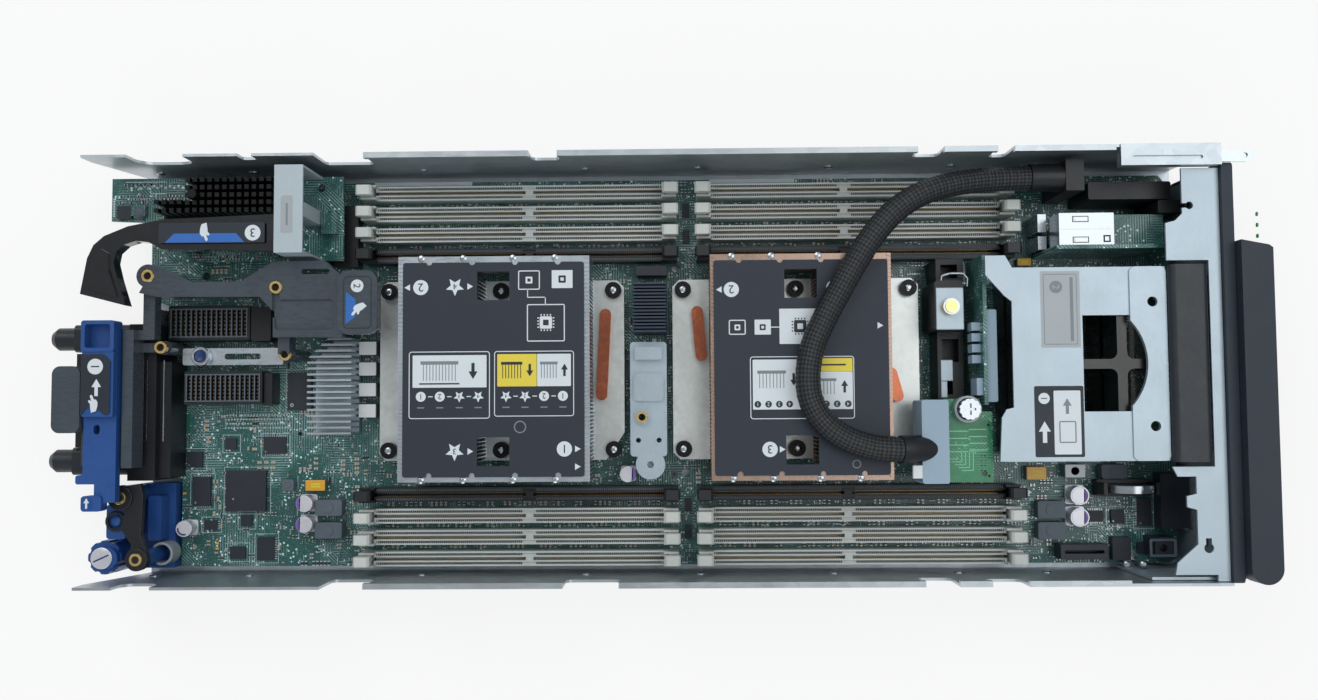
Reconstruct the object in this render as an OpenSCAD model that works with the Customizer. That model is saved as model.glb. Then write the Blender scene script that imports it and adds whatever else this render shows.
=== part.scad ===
// Half-height blade server with its cover off: a sheet metal tray that carries a two-processor board,
// sixteen memory sockets, finned heatsinks, a two-bay drive cage, a rear mezzanine frame and a network card.
// Units are millimetres. +X points to the front bezel, +Y to the pull-tab side, +Z out of the open tray.
// The origin is the middle of the tray's underside.

/* [Blade] */
// Overall length, from the guide pins at the rear to the lever at the front
blade_len = 518; // [516:1:540]
// Overall width of the tray
blade_w = 181; // [180:0.5:190]
// Overall thickness, from the tray's underside to the top of the lever
blade_t = 55.6; // [55:0.2:60]
// Thickness of the tray's sheet metal
sheet = 1.2; // [0.8:0.1:1.5]
// Height of the tray's side walls
rim_z = 51.2; // [50:0.2:54]

/* [System board] */
// Height of the board's top face above the tray's underside
board_z = 8; // [6.5:0.1:9]
// Thickness of the board
board_t = 1.8; // [1.2:0.1:2.4]

/* [Memory sockets] */
// Length of a socket over both latches
socket_len = 141.2; // [139:0.2:142]
// Width of a socket's housing
socket_w = 6.4; // [6:0.1:6.8]
// Height of a socket's housing above the board
socket_h = 9; // [8:0.1:10]
// Distance from one socket to the next
socket_pitch = 9.36; // [9:0.02:9.6]
// Width of the module slot
slot_w = 1.5; // [1.3:0.1:1.8]
// Height of a closed latch above the board
latch_h = 20; // [18:0.5:22]
// Radius of a latch's pivot studs
latch_pin_r = 0.9; // [0.7:0.1:1]

/* [Heatsinks] */
// Length of a fin stack across the blade
fin_span = 95.2; // [90:0.4:96]
// Distance from fin to fin
fin_pitch = 1.6; // [1.2:0.1:2.4]
// Thickness of a fin
fin_t = 0.5; // [0.3:0.1:0.7]
// Width of the rear fin stack along the air path
rear_fin_w = 81; // [76:1:84]
// Width of the front fin stack along the air path
front_fin_w = 76; // [72:1:80]
// Height of the top of the fin stacks
fin_top = 41.2; // [36:0.2:44]
// Length of a heatsink's base plate
sink_base_l = 108; // [104:1:110]
// Width of a heatsink's base plate
sink_base_w = 79; // [74:1:82]
// Thickness of a heatsink's base plate
sink_base_t = 3; // [2:0.2:4]

/* [Drive cage] */
// Width of a drive blank
drive_w = 73; // [70:0.5:74]
// Thickness of a drive blank
drive_h = 15.6; // [14:0.2:16.4]
// Height of the cage's roof
cage_top = 48; // [47:0.2:49]
// Side play of a blank in its bay
drive_gap = 0.5; // [0.3:0.1:0.8]

/* [Front] */
// Thickness of the bezel along the blade
bezel_t = 4.6; // [4:0.1:6]
// Thickness of the release lever along the blade
lever_d = 12.8; // [11:0.2:14]
// Height of the release lever, across the front face
lever_h = 10.4; // [8:0.2:10.6]
// Length of the release lever from its pivot to its tip
lever_l = 133; // [120:1:136]
// Radius of the lever's pivot pin
lever_pin_r = 2; // [1.5:0.1:2.6]
// Width of the pull tab
tab_w = 4.6; // [4:0.1:5]

/* [Rear] */
// Radius of the rear guide pins
pin_r = 5; // [4:0.1:5.5]
// Free length of the rear guide pins
pin_l = 12; // [10:0.5:13]
// Distance between the rear guide pins
pin_gap = 53.6; // [50:0.2:56]
// Height of the rear guide pins' axis
pin_z = 20; // [18:0.2:22]
// Length of the blue release slide
slide_l = 66.6; // [60:0.2:68]
// Width of the blue release slide
slide_w = 14; // [12:0.2:14.4]

/* [Cable] */
// Outside diameter of the sleeved cable
cable_d = 10.6; // [8:0.2:11]

/* [Hidden] */
$fn = 48;
e = 0.01;
fit = 0.3;        // gap between a moving piece and its neighbour
run = 0.06;       // radial running clearance of a pivot

xr = -blade_len / 2;
xf = blade_len / 2;
yt = blade_w / 2;
yb = -blade_w / 2;
bz = board_z;
pan_x0 = xr + 26;
pan_x1 = xf - 18;

// ---- helpers ----

// A block between two corners.
module block(x0, x1, y0, y1, z0, z1) {
    translate([x0, y0, z0]) cube([x1 - x0, y1 - y0, z1 - z0]);
}

// A flat outline with rounded corners, centred.
module rounded(w, h, r) {
    union() {
        square([w - 2 * r, h], center = true);
        square([w, h - 2 * r], center = true);
        for (sx = [-1, 1], sy = [-1, 1]) translate([sx * (w / 2 - r), sy * (h / 2 - r)]) circle(r);
    }
}

// A block with rounded upright edges, between two corners.
module slab(x0, x1, y0, y1, z0, z1, r) {
    translate([(x0 + x1) / 2, (y0 + y1) / 2, z0])
        linear_extrude(z1 - z0) rounded(x1 - x0, y1 - y0, r);
}

module peg(x, y, z0, z1, r) {
    translate([x, y, z0]) cylinder(h = z1 - z0, r = r);
}

// A slotted outline: a bar with round ends along X.
module stadium(l, w) {
    union() {
        square([l - w, w], center = true);
        for (s = [-1, 1]) translate([s * (l - w) / 2, 0]) circle(w / 2);
    }
}

// ---- tray ----

standoffs = [[xr + 56, yb + 14], [xr + 56, 0], [xr + 62, yt - 12], [-20, yb + 26], [18, yt - 26],
    [xf - 40, yb + 10], [xf - 40, yt - 20], [xf - 100, 0], [-125, -38]];

// A dip in a side wall's rim, with rounded lower corners.
module rim_dip(x0, x1, z, r = 2.5) {
    translate([(x0 + x1) / 2, (z + rim_z + 8) / 2]) rounded(x1 - x0, rim_z + 8 - z, r);
}

module upper_wall_outline() {
    difference() {
        polygon([[pan_x0 + 10, 0], [pan_x1, 0], [pan_x1, rim_z], [pan_x0, rim_z], [pan_x0, rim_z - 9]]);
        rim_dip(xr + 45, xr + 69, 36, 7);
        rim_dip(xr + 92, xr + 98, 44, 1);
        rim_dip(-135, -114, 32);
        rim_dip(-45, -33, 37);
        rim_dip(117, 128, 36);
        rim_dip(xf - 109, xf - 102, 34);
    }
}

module lower_wall_outline() {
    difference() {
        polygon([[pan_x0 + 14, 0], [pan_x1, 0], [pan_x1, rim_z], [pan_x0, rim_z], [pan_x0, rim_z - 9]]);
        rim_dip(xr + 42, xr + 58, 40, 6);
        rim_dip(-131, -113, 31);
        rim_dip(-31, -8, 34);
        rim_dip(117, 131, 33);
        rim_dip(xf - 115, xf - 100, 37);
    }
}

tab_y = yt - 5.2;                    // middle of the pull tab
tab_z = rim_z - 2.4;                 // underside of the pull tab
tab_t = 1.4;
guide_x0 = xf - 59;

module chassis_pan() {
    color("lightsteelblue") {
        difference() {
            union() {
                block(pan_x0 + 10, pan_x1, yb, yt, 0, sheet);
                translate([0, yt, 0]) rotate([90, 0, 0]) linear_extrude(sheet) upper_wall_outline();
                translate([0, yb + sheet, 0]) rotate([90, 0, 0]) linear_extrude(sheet) lower_wall_outline();
                // folded hems along the rims
                translate([0, yt, 0]) rotate([90, 0, 0]) linear_extrude(2 * sheet)
                    intersection() {
                        upper_wall_outline();
                        translate([guide_x0 / 2 - 60, rim_z]) square([guide_x0 + 120 - 3, 6], center = true);
                    }
                translate([0, yb + 2 * sheet, 0]) rotate([90, 0, 0]) linear_extrude(2 * sheet)
                    intersection() {
                        lower_wall_outline();
                        translate([guide_x0 / 2 - 60, rim_z]) square([guide_x0 + 120, 6], center = true);
                    }
                // folded sleeve that guides the pull tab
                block(guide_x0, pan_x1, yt - 9, yt, rim_z - 4, rim_z + 1);
                for (s = standoffs) peg(s[0], s[1], sheet / 2, bz - board_t, 3.4);
            }
            block(guide_x0 - 1, pan_x1 + 1, tab_y - tab_w / 2 - fit, tab_y + tab_w / 2 + fit,
                tab_z - fit, tab_z + tab_t + fit);
            translate([guide_x0 + 19, tab_y - 0.6, rim_z]) linear_extrude(4) stadium(29, 1.6);
            // air slots and stiffening cut-outs in the floor
            for (x = [-150, -70, 70, 150]) translate([x, 0, -1]) linear_extrude(sheet + 2) stadium(26, 6);
            for (x = [-190, -100, 20, 110]) translate([x, -35, -1]) cylinder(h = sheet + 2, r = 3);
        }
    }
}

// Sheet metal at the front end: two stepped wings, a folded front edge and the bulkhead behind the bezel.
frame_x = xf - 17.8;                 // front face of the bulkhead
bay_y = drive_w / 2 + drive_gap;     // half the width of a bay
low_z = bz + 1.4;                    // underside of the lower blank
high_z = min(cage_top - 2.4, blade_t - lever_h - 0.5) - drive_h;     // underside of the upper blank

module bay_mouths(x0, x1, grow = 0) {
    for (z = [low_z, high_z])
        block(x0, x1, -bay_y - grow, bay_y + grow, z - drive_gap - grow, z + drive_h + drive_gap + grow);
}

port_y0 = yb + 18.5;
port_w = 26;

module keyhole(x, y, r, slot, dir) {
    union() {
        translate([x, y]) circle(r);
        translate([x, y + dir * slot / 2]) square([r * 1.2, slot], center = true);
    }
}

module front_frame() {
    color("silver") {
        difference() {
            union() {
                // bulkhead
                block(frame_x - sheet, frame_x, yb + sheet + fit, yt - sheet - fit - 8.4, sheet, cage_top);
                // wing beside the pull tab
                translate([0, 0, cage_top - sheet]) linear_extrude(sheet) difference() {
                    polygon([[xf - 33, yt - 9.6], [xf - 33, 62], [xf - 36, 59], [xf - 40, 58], [xf - 40, 42.5],
                        [frame_x, 42.5], [frame_x, yt - 9.6]]);
                    translate([xf - 30, 65.3]) rotate(90) keyhole(0, 0, 1.6, 5, 1);
                }
                // wing beside the lower wall
                translate([0, 0, cage_top - sheet]) linear_extrude(sheet) difference() {
                    polygon([[xf - 40, -42.5], [xf - 38, -46.5], [xf - 30.5, -46.5], [xf - 30.5, -53.5],
                        [xf - 34.5, -54.5], [xf - 34.5, -59], [xf - 30.5, -60], [xf - 30.5, -74],
                        [xf - 39, -81.5], [xf - 40, -86.4], [frame_x, -86.4], [frame_x, -42.5]]);
                    keyhole(xf - 26.2, -75.6, 2, 4, 1);
                }
                // outer skirts that meet the tray's walls
                block(xf - 48, frame_x, yb + sheet + fit, yb + 2 * sheet + fit, sheet, cage_top - 4);
                block(frame_x - 5, frame_x, yb + sheet + fit, yt - 9.6, cage_top - sheet, cage_top);
            }
            bay_mouths(frame_x - sheet - 1, frame_x + 1);
            block(frame_x - sheet - 1, frame_x + 1, port_y0, port_y0 + port_w, bz + 0.6, bz + 9);
            // air holes either side of the bays
            for (y = [50:7:71], z = [14:7:42]) translate([frame_x - 4, y, z]) rotate([0, 90, 0])
                cylinder(h = 6, r = 2.6);
            for (y = [-82:7:-47], z = [22:7:36]) translate([frame_x - 4, y, z]) rotate([0, 90, 0])
                cylinder(h = 6, r = 2.6);
        }
    }
}

module pull_tab() {
    color("gainsboro") translate([0, 0, tab_z]) linear_extrude(tab_t) difference() {
        polygon([[guide_x0 + 1.5, tab_y - tab_w / 2], [xf - 7, tab_y - tab_w / 2], [xf - 3, tab_y - tab_w / 2 + 2.4],
            [xf - 3, tab_y + tab_w / 2], [guide_x0 + 1.5, tab_y + tab_w / 2]]);
        translate([xf - 7.5, tab_y + 0.3]) circle(1.2);
    }
}

// ---- bezel and lever ----

bezel_x0 = frame_x + 0.2;
bezel_x1 = bezel_x0 + bezel_t;
bezel_top = rim_z - 0.8;
pivot_x = xf - lever_d / 2;
pivot_y = yb + 7.4;
lever_z0 = blade_t - lever_h;
button_y = pivot_y + lever_l + 10;
button_w = 11;
button_z = 40;
power_y = 71;
power_z = 20;
power_r = 3.8;

module bezel() {
    color("darkslategray") difference() {
        union() {
            difference() {
                translate([bezel_x0, (yt - 7.6 + yb + 0.8) / 2, (bezel_top + 0.8) / 2]) rotate([90, 0, 90])
                    linear_extrude(bezel_t) rounded(yt - 7.6 - yb - 0.8, bezel_top - 0.8, 2);
                // a shallow frame round each bay
                for (z = [low_z, high_z]) block(bezel_x1 - 1.2, bezel_x1 + 1, -bay_y - 1.4, bay_y + 1.4,
                    z - 1, z + drive_h + 1);
            }
            // ear that carries the lever's pin
            translate([pivot_x, pivot_y, lever_z0 - 7]) cylinder(h = 6.7, r = lever_d / 2 - 0.6);
            block(bezel_x1 - 1, pivot_x, pivot_y - 5.4, pivot_y + 5.4, lever_z0 - 7, lever_z0 - 0.3);
        }
        bay_mouths(bezel_x0 - 1, bezel_x1 + 1);
        block(bezel_x0 - 1, bezel_x1 + 1, port_y0, port_y0 + port_w, bz + 0.6, bz + 9);
        peg(pivot_x, pivot_y, lever_z0 - 8, blade_t, lever_pin_r + run);
        block(bezel_x0 - 1, bezel_x1 + 1, button_y - button_w / 2 - fit, button_y + button_w / 2 + fit,
            button_z - button_w / 2 - fit, button_z + button_w / 2 + fit);
        translate([bezel_x0 - 1, power_y, power_z]) rotate([0, 90, 0]) cylinder(h = bezel_t + 2, r = power_r + fit);
        // air slots
        for (y = [48:5:60], z = [8, 19, 30]) translate([bezel_x0 - 1, y, z + 3]) rotate([90, 0, 90])
            linear_extrude(bezel_t + 2) rounded(3.2, 8, 1.5);
        for (y = [-83:5:-47], z = [20, 31]) translate([bezel_x0 - 1, y, z + 4]) rotate([90, 0, 90])
            linear_extrude(bezel_t + 2) rounded(3.2, 8, 1.5);
    }
}

// Rounded plastic roll over the mouths of the drive bays.
roll_x0 = xf - 40.6;
roll_x1 = xf - 24.6;

module bay_shroud() {
    color("dimgray") difference() {
        translate([0, bay_y + 3.4, 0]) rotate([90, 0, 0]) linear_extrude(2 * bay_y + 6.8) union() {
            translate([(roll_x0 + roll_x1) / 2, cage_top + 1.4]) stadium(roll_x1 - roll_x0, 5.6);
            translate([roll_x0 + 2.8, cage_top - 1.4]) square([roll_x1 - roll_x0 - 5.6, 5.6]);
        }
        block(roll_x0 - 1, roll_x1 + 1, -bay_y - 4, bay_y + 4, 0, cage_top);
    }
}

module lever_plan(inset = 0) {
    w = lever_d / 2 - inset;
    union() {
        translate([pivot_x, pivot_y]) circle(w);
        polygon([[pivot_x - w, pivot_y], [pivot_x + w, pivot_y], [pivot_x + w, pivot_y + lever_l - 3.4 - inset],
            [pivot_x + w - 1.6, pivot_y + lever_l - 2.2 - inset], [pivot_x - w, pivot_y + lever_l - inset]]);
    }
}

module release_lever() {
    color("slategray") difference() {
        translate([0, 0, lever_z0]) linear_extrude(lever_h) lever_plan();
        // hollow underside with the ribs left standing
        difference() {
            translate([0, 0, lever_z0 - 1]) linear_extrude(lever_h - 1.2) lever_plan(1.6);
            peg(pivot_x, pivot_y, 0, blade_t, lever_pin_r + 2.6);
            for (k = [1:6]) block(pivot_x - lever_d, pivot_x + lever_d, pivot_y + k * lever_l / 7 - 0.6,
                pivot_y + k * lever_l / 7 + 0.6, 0, blade_t);
        }
        peg(pivot_x, pivot_y, lever_z0 - 1, blade_t - 1.6, lever_pin_r + run);
        // finger groove near the tip
        translate([pivot_x + lever_d / 2 + 3.2, pivot_y + lever_l - 22, lever_z0 - 1]) cylinder(h = lever_h - 3, r = 4.8);
    }
}

module lever_pin() {
    color("silver") peg(pivot_x, pivot_y, lever_z0 - 7, blade_t - 1.9, lever_pin_r);
}

module release_button() {
    color("royalblue") union() {
        translate([bezel_x1 - 2.6, button_y, button_z]) rotate([90, 0, 90]) linear_extrude(5) rounded(button_w, button_w, 1.5);
    }
}

module power_button() {
    color("lightgray") translate([bezel_x1 - 2.6, power_y, power_z]) rotate([0, 90, 0]) cylinder(h = 3.8, r = power_r);
}

// ---- drive cage ----

cage_x0 = xf - 110;                  // rear edge of the roof
cage_x1 = xf - 40.8;                 // front edge of the roof
wall_y = bay_y + 1;                  // outer face of the cage's walls
rail_l = cage_x1 - cage_x0 - 8;

module roof_outline() {
    x = cage_x0;
    difference() {
        union() {
            polygon([[x, -40], [x + 1, -22], [x + 3, -18.6], [x + 6, -17.9], [x + 6, 26], [x + 3, 28.4],
                [x - 4.6, 37.1], [x - 4.6, 45.1], [x + 3.6, 45.1], [x + 6.4, 40], [cage_x1, 40], [cage_x1, -40]]);
        }
        // opening with a bulged side over the blanks
        union() {
            translate([cage_x1 - 34.4, -19.7]) square([19.4, 39.7]);
            intersection() {
                translate([cage_x1 - 34.4, 0.1]) circle(26.2);
                translate([cage_x1 - 18, -19.7]) square([12, 39.7]);
            }
        }
    }
}

module drive_cage() {
    color("silver") union() {
        difference() {
            translate([0, 0, cage_top - 1.2]) linear_extrude(1.2) roof_outline();
            for (y = [-25.8, 25.4]) peg(cage_x1 - 5.8, y, 0, 60, 2.1);
        }
        // second plate on the roof's front edge
        difference() {
            slab(cage_x1 - 15, cage_x1, -40, 40, cage_top, cage_top + 0.8, 2.5);
            translate([cage_x1 - 34.4, 0.1, 0]) cylinder(h = 60, r = 26.2);
            for (y = [-25.8, 25.4]) peg(cage_x1 - 5.8, y, 0, 60, 2.1);
        }
        for (s = [-1, 1]) {
            // side wall, and the runners under each blank
            translate([0, s > 0 ? wall_y : -bay_y, 0]) rotate([90, 0, 0]) linear_extrude(1) difference() {
                translate([cage_x0 + 8, bz]) square([cage_x1 - cage_x0 - 8, cage_top - 1.2 - bz + e]);
                for (k = [0:3]) translate([cage_x0 + 18 + k * 14, bz + 19]) circle(3.4);
            }
            for (z = [low_z, high_z]) block(cage_x0 + 8, cage_x1, s > 0 ? bay_y - 1.8 : -bay_y,
                s > 0 ? bay_y : -bay_y + 1.8, z - 1.4, z - 0.3);
            // feet on the board
            block(cage_x0 + 14, cage_x1 - 14, s > 0 ? wall_y - 0.2 : -wall_y - 4, s > 0 ? wall_y + 4 : -wall_y + 0.2,
                bz, bz + 1);
        }
    }
}

module drive_blank(z) {
    x0 = cage_x0 + 9;
    face = frame_x + 1.2;
    difference() {
        union() {
            block(x0, face, -drive_w / 2, drive_w / 2, z, z + drive_h);
            // face block with rounded edges
            translate([face - 2, 0, z + drive_h / 2]) rotate([90, 0, 90])
                linear_extrude(bezel_x1 + 4 - face + 2) rounded(drive_w, drive_h, 1.6);
        }
        // open frame: four windows between the rails and the ribs
        translate([0, 0, z - 1]) linear_extrude(drive_h + 2) for (k = [0, 1], s = [-1, 1])
            translate([x0 + 22.5 + k * 41, s * (drive_w / 4 - 1)]) rounded(37, drive_w / 2 - 6, 3);
        // grip recess and air slots in the face
        block(bezel_x1 - 1, bezel_x1 + 5, drive_w / 2 - 16, drive_w / 2 - 5, z + 3.4, z + drive_h - 3.4);
        for (k = [0:7]) translate([face - 4, -drive_w / 2 + 7 + k * 5.6, z + drive_h / 2]) rotate([90, 0, 90])
            linear_extrude(20) rounded(3, drive_h - 6, 1.4);
    }
}

module drive_blank_upper() {
    color("#2b2d33") drive_blank(high_z);
}

module drive_blank_lower() {
    color("#2b2d33") drive_blank(low_z);
}

bp_x = cage_x0 - 4.4;                // rear face of the drive backplane

module backplane() {
    color("olivedrab") difference() {
        union() {
            block(bp_x, bp_x + 1.6, -16.6, 36.6, bz, 42);
            block(bp_x, bp_x + 1.6, 36.6, 46.2, bz + 6, 42);
        }
        for (z = [18, 36]) translate([bp_x - 1, 30, z]) rotate([0, 90, 0]) cylinder(h = 4, r = 1.6);
    }
}

// Socket strips facing the two bays, and small parts on the backplane's rear face.
module backplane_connectors() {
    color("slategray") union() {
        for (z = [low_z, high_z]) difference() {
            slab(bp_x + 1.6, bp_x + 6.4, -15.4, 23.5, z + 4, z + 10, 0.8);
            block(bp_x + 4, bp_x + 7, -13.4, 21.5, z + 6.2, z + 7.8);
        }
        for (k = [0:3]) block(bp_x - 3.6, bp_x, 1 + k * 4.6, 4.4 + k * 4.6, 30, 37);
        block(bp_x - 2.6, bp_x, -12.6, -5.4, 30, 40);
    }
}

br_x0 = xf - 132.6;                  // rear edge of the cage's bracket
screw_x = xf - 126.3;
screw_y = 25.1;

module cage_bracket() {
    color("#3a3b40") difference() {
        union() {
            slab(br_x0, br_x0 + 12, 15.2, 36.5, bz, 34, 1.5);
            block(br_x0 + 2, bp_x - 4.4, 36.5, 46.4, bz, 28);
            block(br_x0 + 3, bp_x - 4.4, -14, 15.2, bz, 24);
        }
        peg(screw_x, screw_y, bz + 4, 40, 1.9);
        block(br_x0 + 7, br_x0 + 9.4, -12, -2, bz + 6, 30);
        block(br_x0 + 5, bp_x - 6, 2, 12, bz + 8, 30);
        block(br_x0 + 4, bp_x - 7, 38, 44, bz + 10, 30);
    }
}

module cage_screw() {
    color("goldenrod") union() {
        peg(screw_x, screw_y, bz + 6, 34.3, 1.7);
        peg(screw_x, screw_y, 34.3, 37.4, 3.4);
        peg(screw_x, screw_y, 37.4, 38.2, 2.6);
    }
}

cb_x0 = xf - 130.2;
cb_z = 36;                           // underside of the small board
ts_x = xf - 121.3;
ts_y = -18.4;

// Small board on edge posts that the sleeved cable plugs into.
module cable_board() {
    color("seagreen") difference() {
        union() {
            translate([0, 0, cb_z]) linear_extrude(1.6) difference() {
                translate([cb_x0, -49]) square([20, 35]);
                translate([cb_x0 + 14.8, -19.4]) square([8, 8]);
            }
        }
        peg(ts_x, ts_y, 0, 60, 2.2);
        peg(xf - 114, -45.4, 0, 60, 1.2);
    }
}

// Cable socket, header and post under the small board, seen as one moulded block.
module cable_socket() {
    color("lightgray") difference() {
        union() {
            slab(cb_x0 - 11.4, cb_x0 - 0.3, -49, -14.4, cb_z - 8, cb_z + 10.6, 1);
            block(cb_x0 + 3, cb_x0 + 15, -47, -40, bz, cb_z);
            peg(ts_x, ts_y, bz, cb_z, 4);
            block(cb_x0 - 2, cb_x0 + 6, -44, -24, cb_z - 6, cb_z);
        }
        peg(ts_x, ts_y, bz + 6, cb_z + 1, 1.9);
    }
}

module thumb_screw() {
    color("silver") union() {
        peg(ts_x, ts_y, bz + 8, cb_z + 2.2, 1.7);
        difference() {
            peg(ts_x, ts_y, cb_z + 2.2, cb_z + 9.6, 4.4);
            for (a = [0:30:330]) translate([ts_x, ts_y, cb_z + 3]) rotate(a) translate([4.9, 0, 0]) cylinder(h = 8, r = 0.8);
            translate([ts_x, ts_y, cb_z + 8.4]) for (a = [0, 90]) rotate(a) translate([-2.4, -0.5, 0]) cube([4.8, 1, 3]);
        }
    }
}

// ---- cable: one free tube over the front heatsink, from the header to the small board ----

cable_path = [[xf - 78, 80, 35], [xf - 89, 80, 35], [xf - 101, 79.6, 35.6], [xf - 114, 78.4, 38], [xf - 127, 76, 42],
    [xf - 140, 71.6, 45.8], [xf - 151, 64.6, 47.8], [xf - 160, 55, 48.1], [xf - 168, 43, 48.1], [xf - 175, 31, 48.1],
    [xf - 181, 20, 48.1], [xf - 186, 9, 48.1], [xf - 188.4, -3, 48.1], [xf - 187.4, -14, 48.1],
    [xf - 182, -23.4, 48.1], [xf - 173, -30, 48.1], [xf - 162.6, -33.6, 48.1], [xf - 154, -34.6, 48.1],
    [xf - 147.6, -34.8, 46.6], [xf - 142.4, -34.8, 44], [xf - 138, -34.8, 41.6]];

function unit(v) = v / norm(v);
function heading(k) = unit(cable_path[min(k + 1, len(cable_path) - 1)] - cable_path[max(k - 1, 0)]);
function ring(k, n, r) = let (d = heading(k), a = unit(cross(d, [0, 0, 1])), b = cross(a, d))
    [for (i = [0:n - 1]) cable_path[k] + r * (cos(360 * i / n) * a + sin(360 * i / n) * b)];

module cable() {
    n = 12;
    m = len(cable_path);
    points = [for (k = [0:m - 1]) each ring(k, n, cable_d / 2)];
    sides = [for (k = [0:m - 2], i = [0:n - 1]) let (j = (i + 1) % n)
        each [[k * n + i, k * n + j, (k + 1) * n + j], [k * n + i, (k + 1) * n + j, (k + 1) * n + i]]];
    color("#202024") polyhedron(points, concat([[for (i = [0:n - 1]) n - 1 - i]], sides,
        [[for (i = [0:n - 1]) (m - 1) * n + i]]), convexity = 8);
}

hd_x = xf - 78;                      // rear face of the header's shell

module front_header() {
    color("#26272b") union() {
        difference() {
            block(hd_x, hd_x + 7.6, 73.4, 86.6, bz, 41);
            for (z = [18:5:35], y = [76, 81]) block(hd_x + 4, hd_x + 8, y, y + 3, z, z + 3);
        }
        slab(hd_x + 11.6, hd_x + 46.6, 70.7, 78.2, bz, 34, 1);
        slab(hd_x + 41, hd_x + 52, 64.8, 70.2, bz, 34, 1);
    }
}

ub_y = 48.6;                         // inner face of the upright riser
ub_x0 = xf - 83;
ub_x1 = xf - 38.6;

module usb_riser() {
    color("seagreen") union() {
        block(ub_x0, ub_x1, ub_y, ub_y + 1.6, bz, 42);
        block(ub_x1 - 17, ub_x1 + 5, ub_y + 1.6, 64.6, 29, 30.6);
        block(ub_x1 - 14, ub_x1 - 6, 55, 61, bz, 29);
    }
}

module usb_port() {
    color("silver") union() {
        difference() {
            block(ub_x0 + 2, ub_x0 + 25, ub_y + 1.6, 64, 26, 39.6);
            block(ub_x0 + 3, ub_x0 + 26, ub_y + 2.6, 63, 27.4, 38.2);
        }
        block(ub_x0 + 4, ub_x0 + 20, ub_y + 5, 60.6, 27.4, 30);
        block(ub_x0 + 4, ub_x0 + 10, 54, 60, bz, 26);
        block(ub_x0 - 2.4, ub_x0 + 1.2, ub_y + 2, 56.4, bz, 25);
        block(ub_x0 - 2.4, ub_x0 + 1.2, 58.2, 66, bz, 25);
    }
}

// ---- system board ----

bank_x = [-53.2, xf - 163.8];        // middles of the two columns of sockets
top_y = yt - 11.2;                   // first row beside the upper wall
low_y = yb + 8;                      // first row beside the lower wall
house_l = socket_len - 12.6;         // length of a socket's housing
pivot_s = socket_len / 2 - 3.3;      // pivot's distance from the socket's middle
latch_w = socket_w - 2.2;

module system_board() {
    color("teal") difference() {
        translate([0, 0, bz - board_t]) linear_extrude(board_t) difference() {
            polygon([[xr + 47, -47], [xr + 47, 30], [xr + 37, 34], [xr + 37, yt - 4.5], [xf - 26, yt - 4.5],
                [xf - 22, yt - 9], [xf - 22, yb + 6], [xf - 26, yb + 4], [xr + 52.6, yb + 4], [xr + 52.6, -47]]);
            for (p = [[xr + 50.5, -22], [xr + 62, 44], [16, 46], [20, -46], [xf - 30, 44], [-106, -48]])
                translate(p) circle(1.8);
        }
    }
}

// One socket at a bank's middle: housing with the module slot, its key and the two latch towers.
module dimm_socket(x, y, key) {
    translate([x, y, bz]) difference() {
        union() {
            block(-house_l / 2, house_l / 2, -socket_w / 2, socket_w / 2, 0, socket_h);
            for (s = [-1, 1], c = [-1, 1])
                block(min(s * (house_l / 2 - 1), s * (socket_len / 2 - 0.8)), max(s * (house_l / 2 - 1),
                    s * (socket_len / 2 - 0.8)), min(c * socket_w / 2, c * (latch_w / 2 + fit / 2)),
                    max(c * socket_w / 2, c * (latch_w / 2 + fit / 2)), 0, socket_h + 4.4);
        }
        difference() {
            translate([0, 0, socket_h / 2 + 4]) cube([house_l + 2, slot_w, socket_h], center = true);
            translate([key, 0, 0]) cylinder(h = socket_h, r = 1.7);
        }
        // shallow steps that carry the two contact rows
        for (c = [-1, 1]) block(-house_l / 2 + 2, house_l / 2 - 2, c * 1.9 - 0.5, c * 1.9 + 0.5, socket_h - 0.6, socket_h + 1);
        for (s = [-1, 1]) translate([s * pivot_s, 0, 4]) rotate([90, 0, 0])
            cylinder(h = socket_w + 2, r = latch_pin_r + run, center = true);
    }
}

module sockets_white() {
    color("ivory") for (b = [0, 1], k = [0:2]) {
        dimm_socket(bank_x[b], top_y - k * socket_pitch, b == 0 ? 4.4 : -4.4);
        dimm_socket(bank_x[b], low_y + k * socket_pitch, b == 0 ? 4.4 : -4.4);
    }
}

module sockets_black() {
    color("#26272b") for (b = [0, 1]) {
        dimm_socket(bank_x[b], top_y - 3 * socket_pitch, b == 0 ? 4.4 : -4.4);
        dimm_socket(bank_x[b], low_y + 3 * socket_pitch, b == 0 ? 4.4 : -4.4);
    }
}

// One latch, drawn for the end towards +X, with its jaw over the slot and its pivot studs.
module latch() {
    h = latch_h;
    u = socket_len / 2;
    union() {
        rotate([90, 0, 0]) translate([0, 0, -latch_w / 2]) linear_extrude(latch_w)
            polygon([[u - 5.2, 1], [u - 1.6, 1], [u - 1.2, 4], [u - 1.2, h - 6], [u, h - 5], [u, h - 0.8], [u - 0.8, h],
                [u - 6, h], [u - 7, h - 1], [u - 7, h - 4], [u - 5.2, h - 5.6]]);
        translate([pivot_s, 0, 4]) rotate([90, 0, 0]) cylinder(h = socket_w, r = latch_pin_r, center = true);
    }
}

module latch_group(b, s) {
    for (y0 = [0, 1], k = [0:3]) translate([bank_x[b], y0 == 0 ? top_y - k * socket_pitch : low_y + k * socket_pitch, bz])
        mirror([s < 0 ? 1 : 0, 0, 0]) latch();
}

module latches_a() {
    color("ivory") latch_group(0, -1);
}

module latches_b() {
    color("ivory") latch_group(0, 1);
}

module latches_c() {
    color("ivory") latch_group(1, -1);
}

module latches_d() {
    color("ivory") latch_group(1, 1);
}

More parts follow.
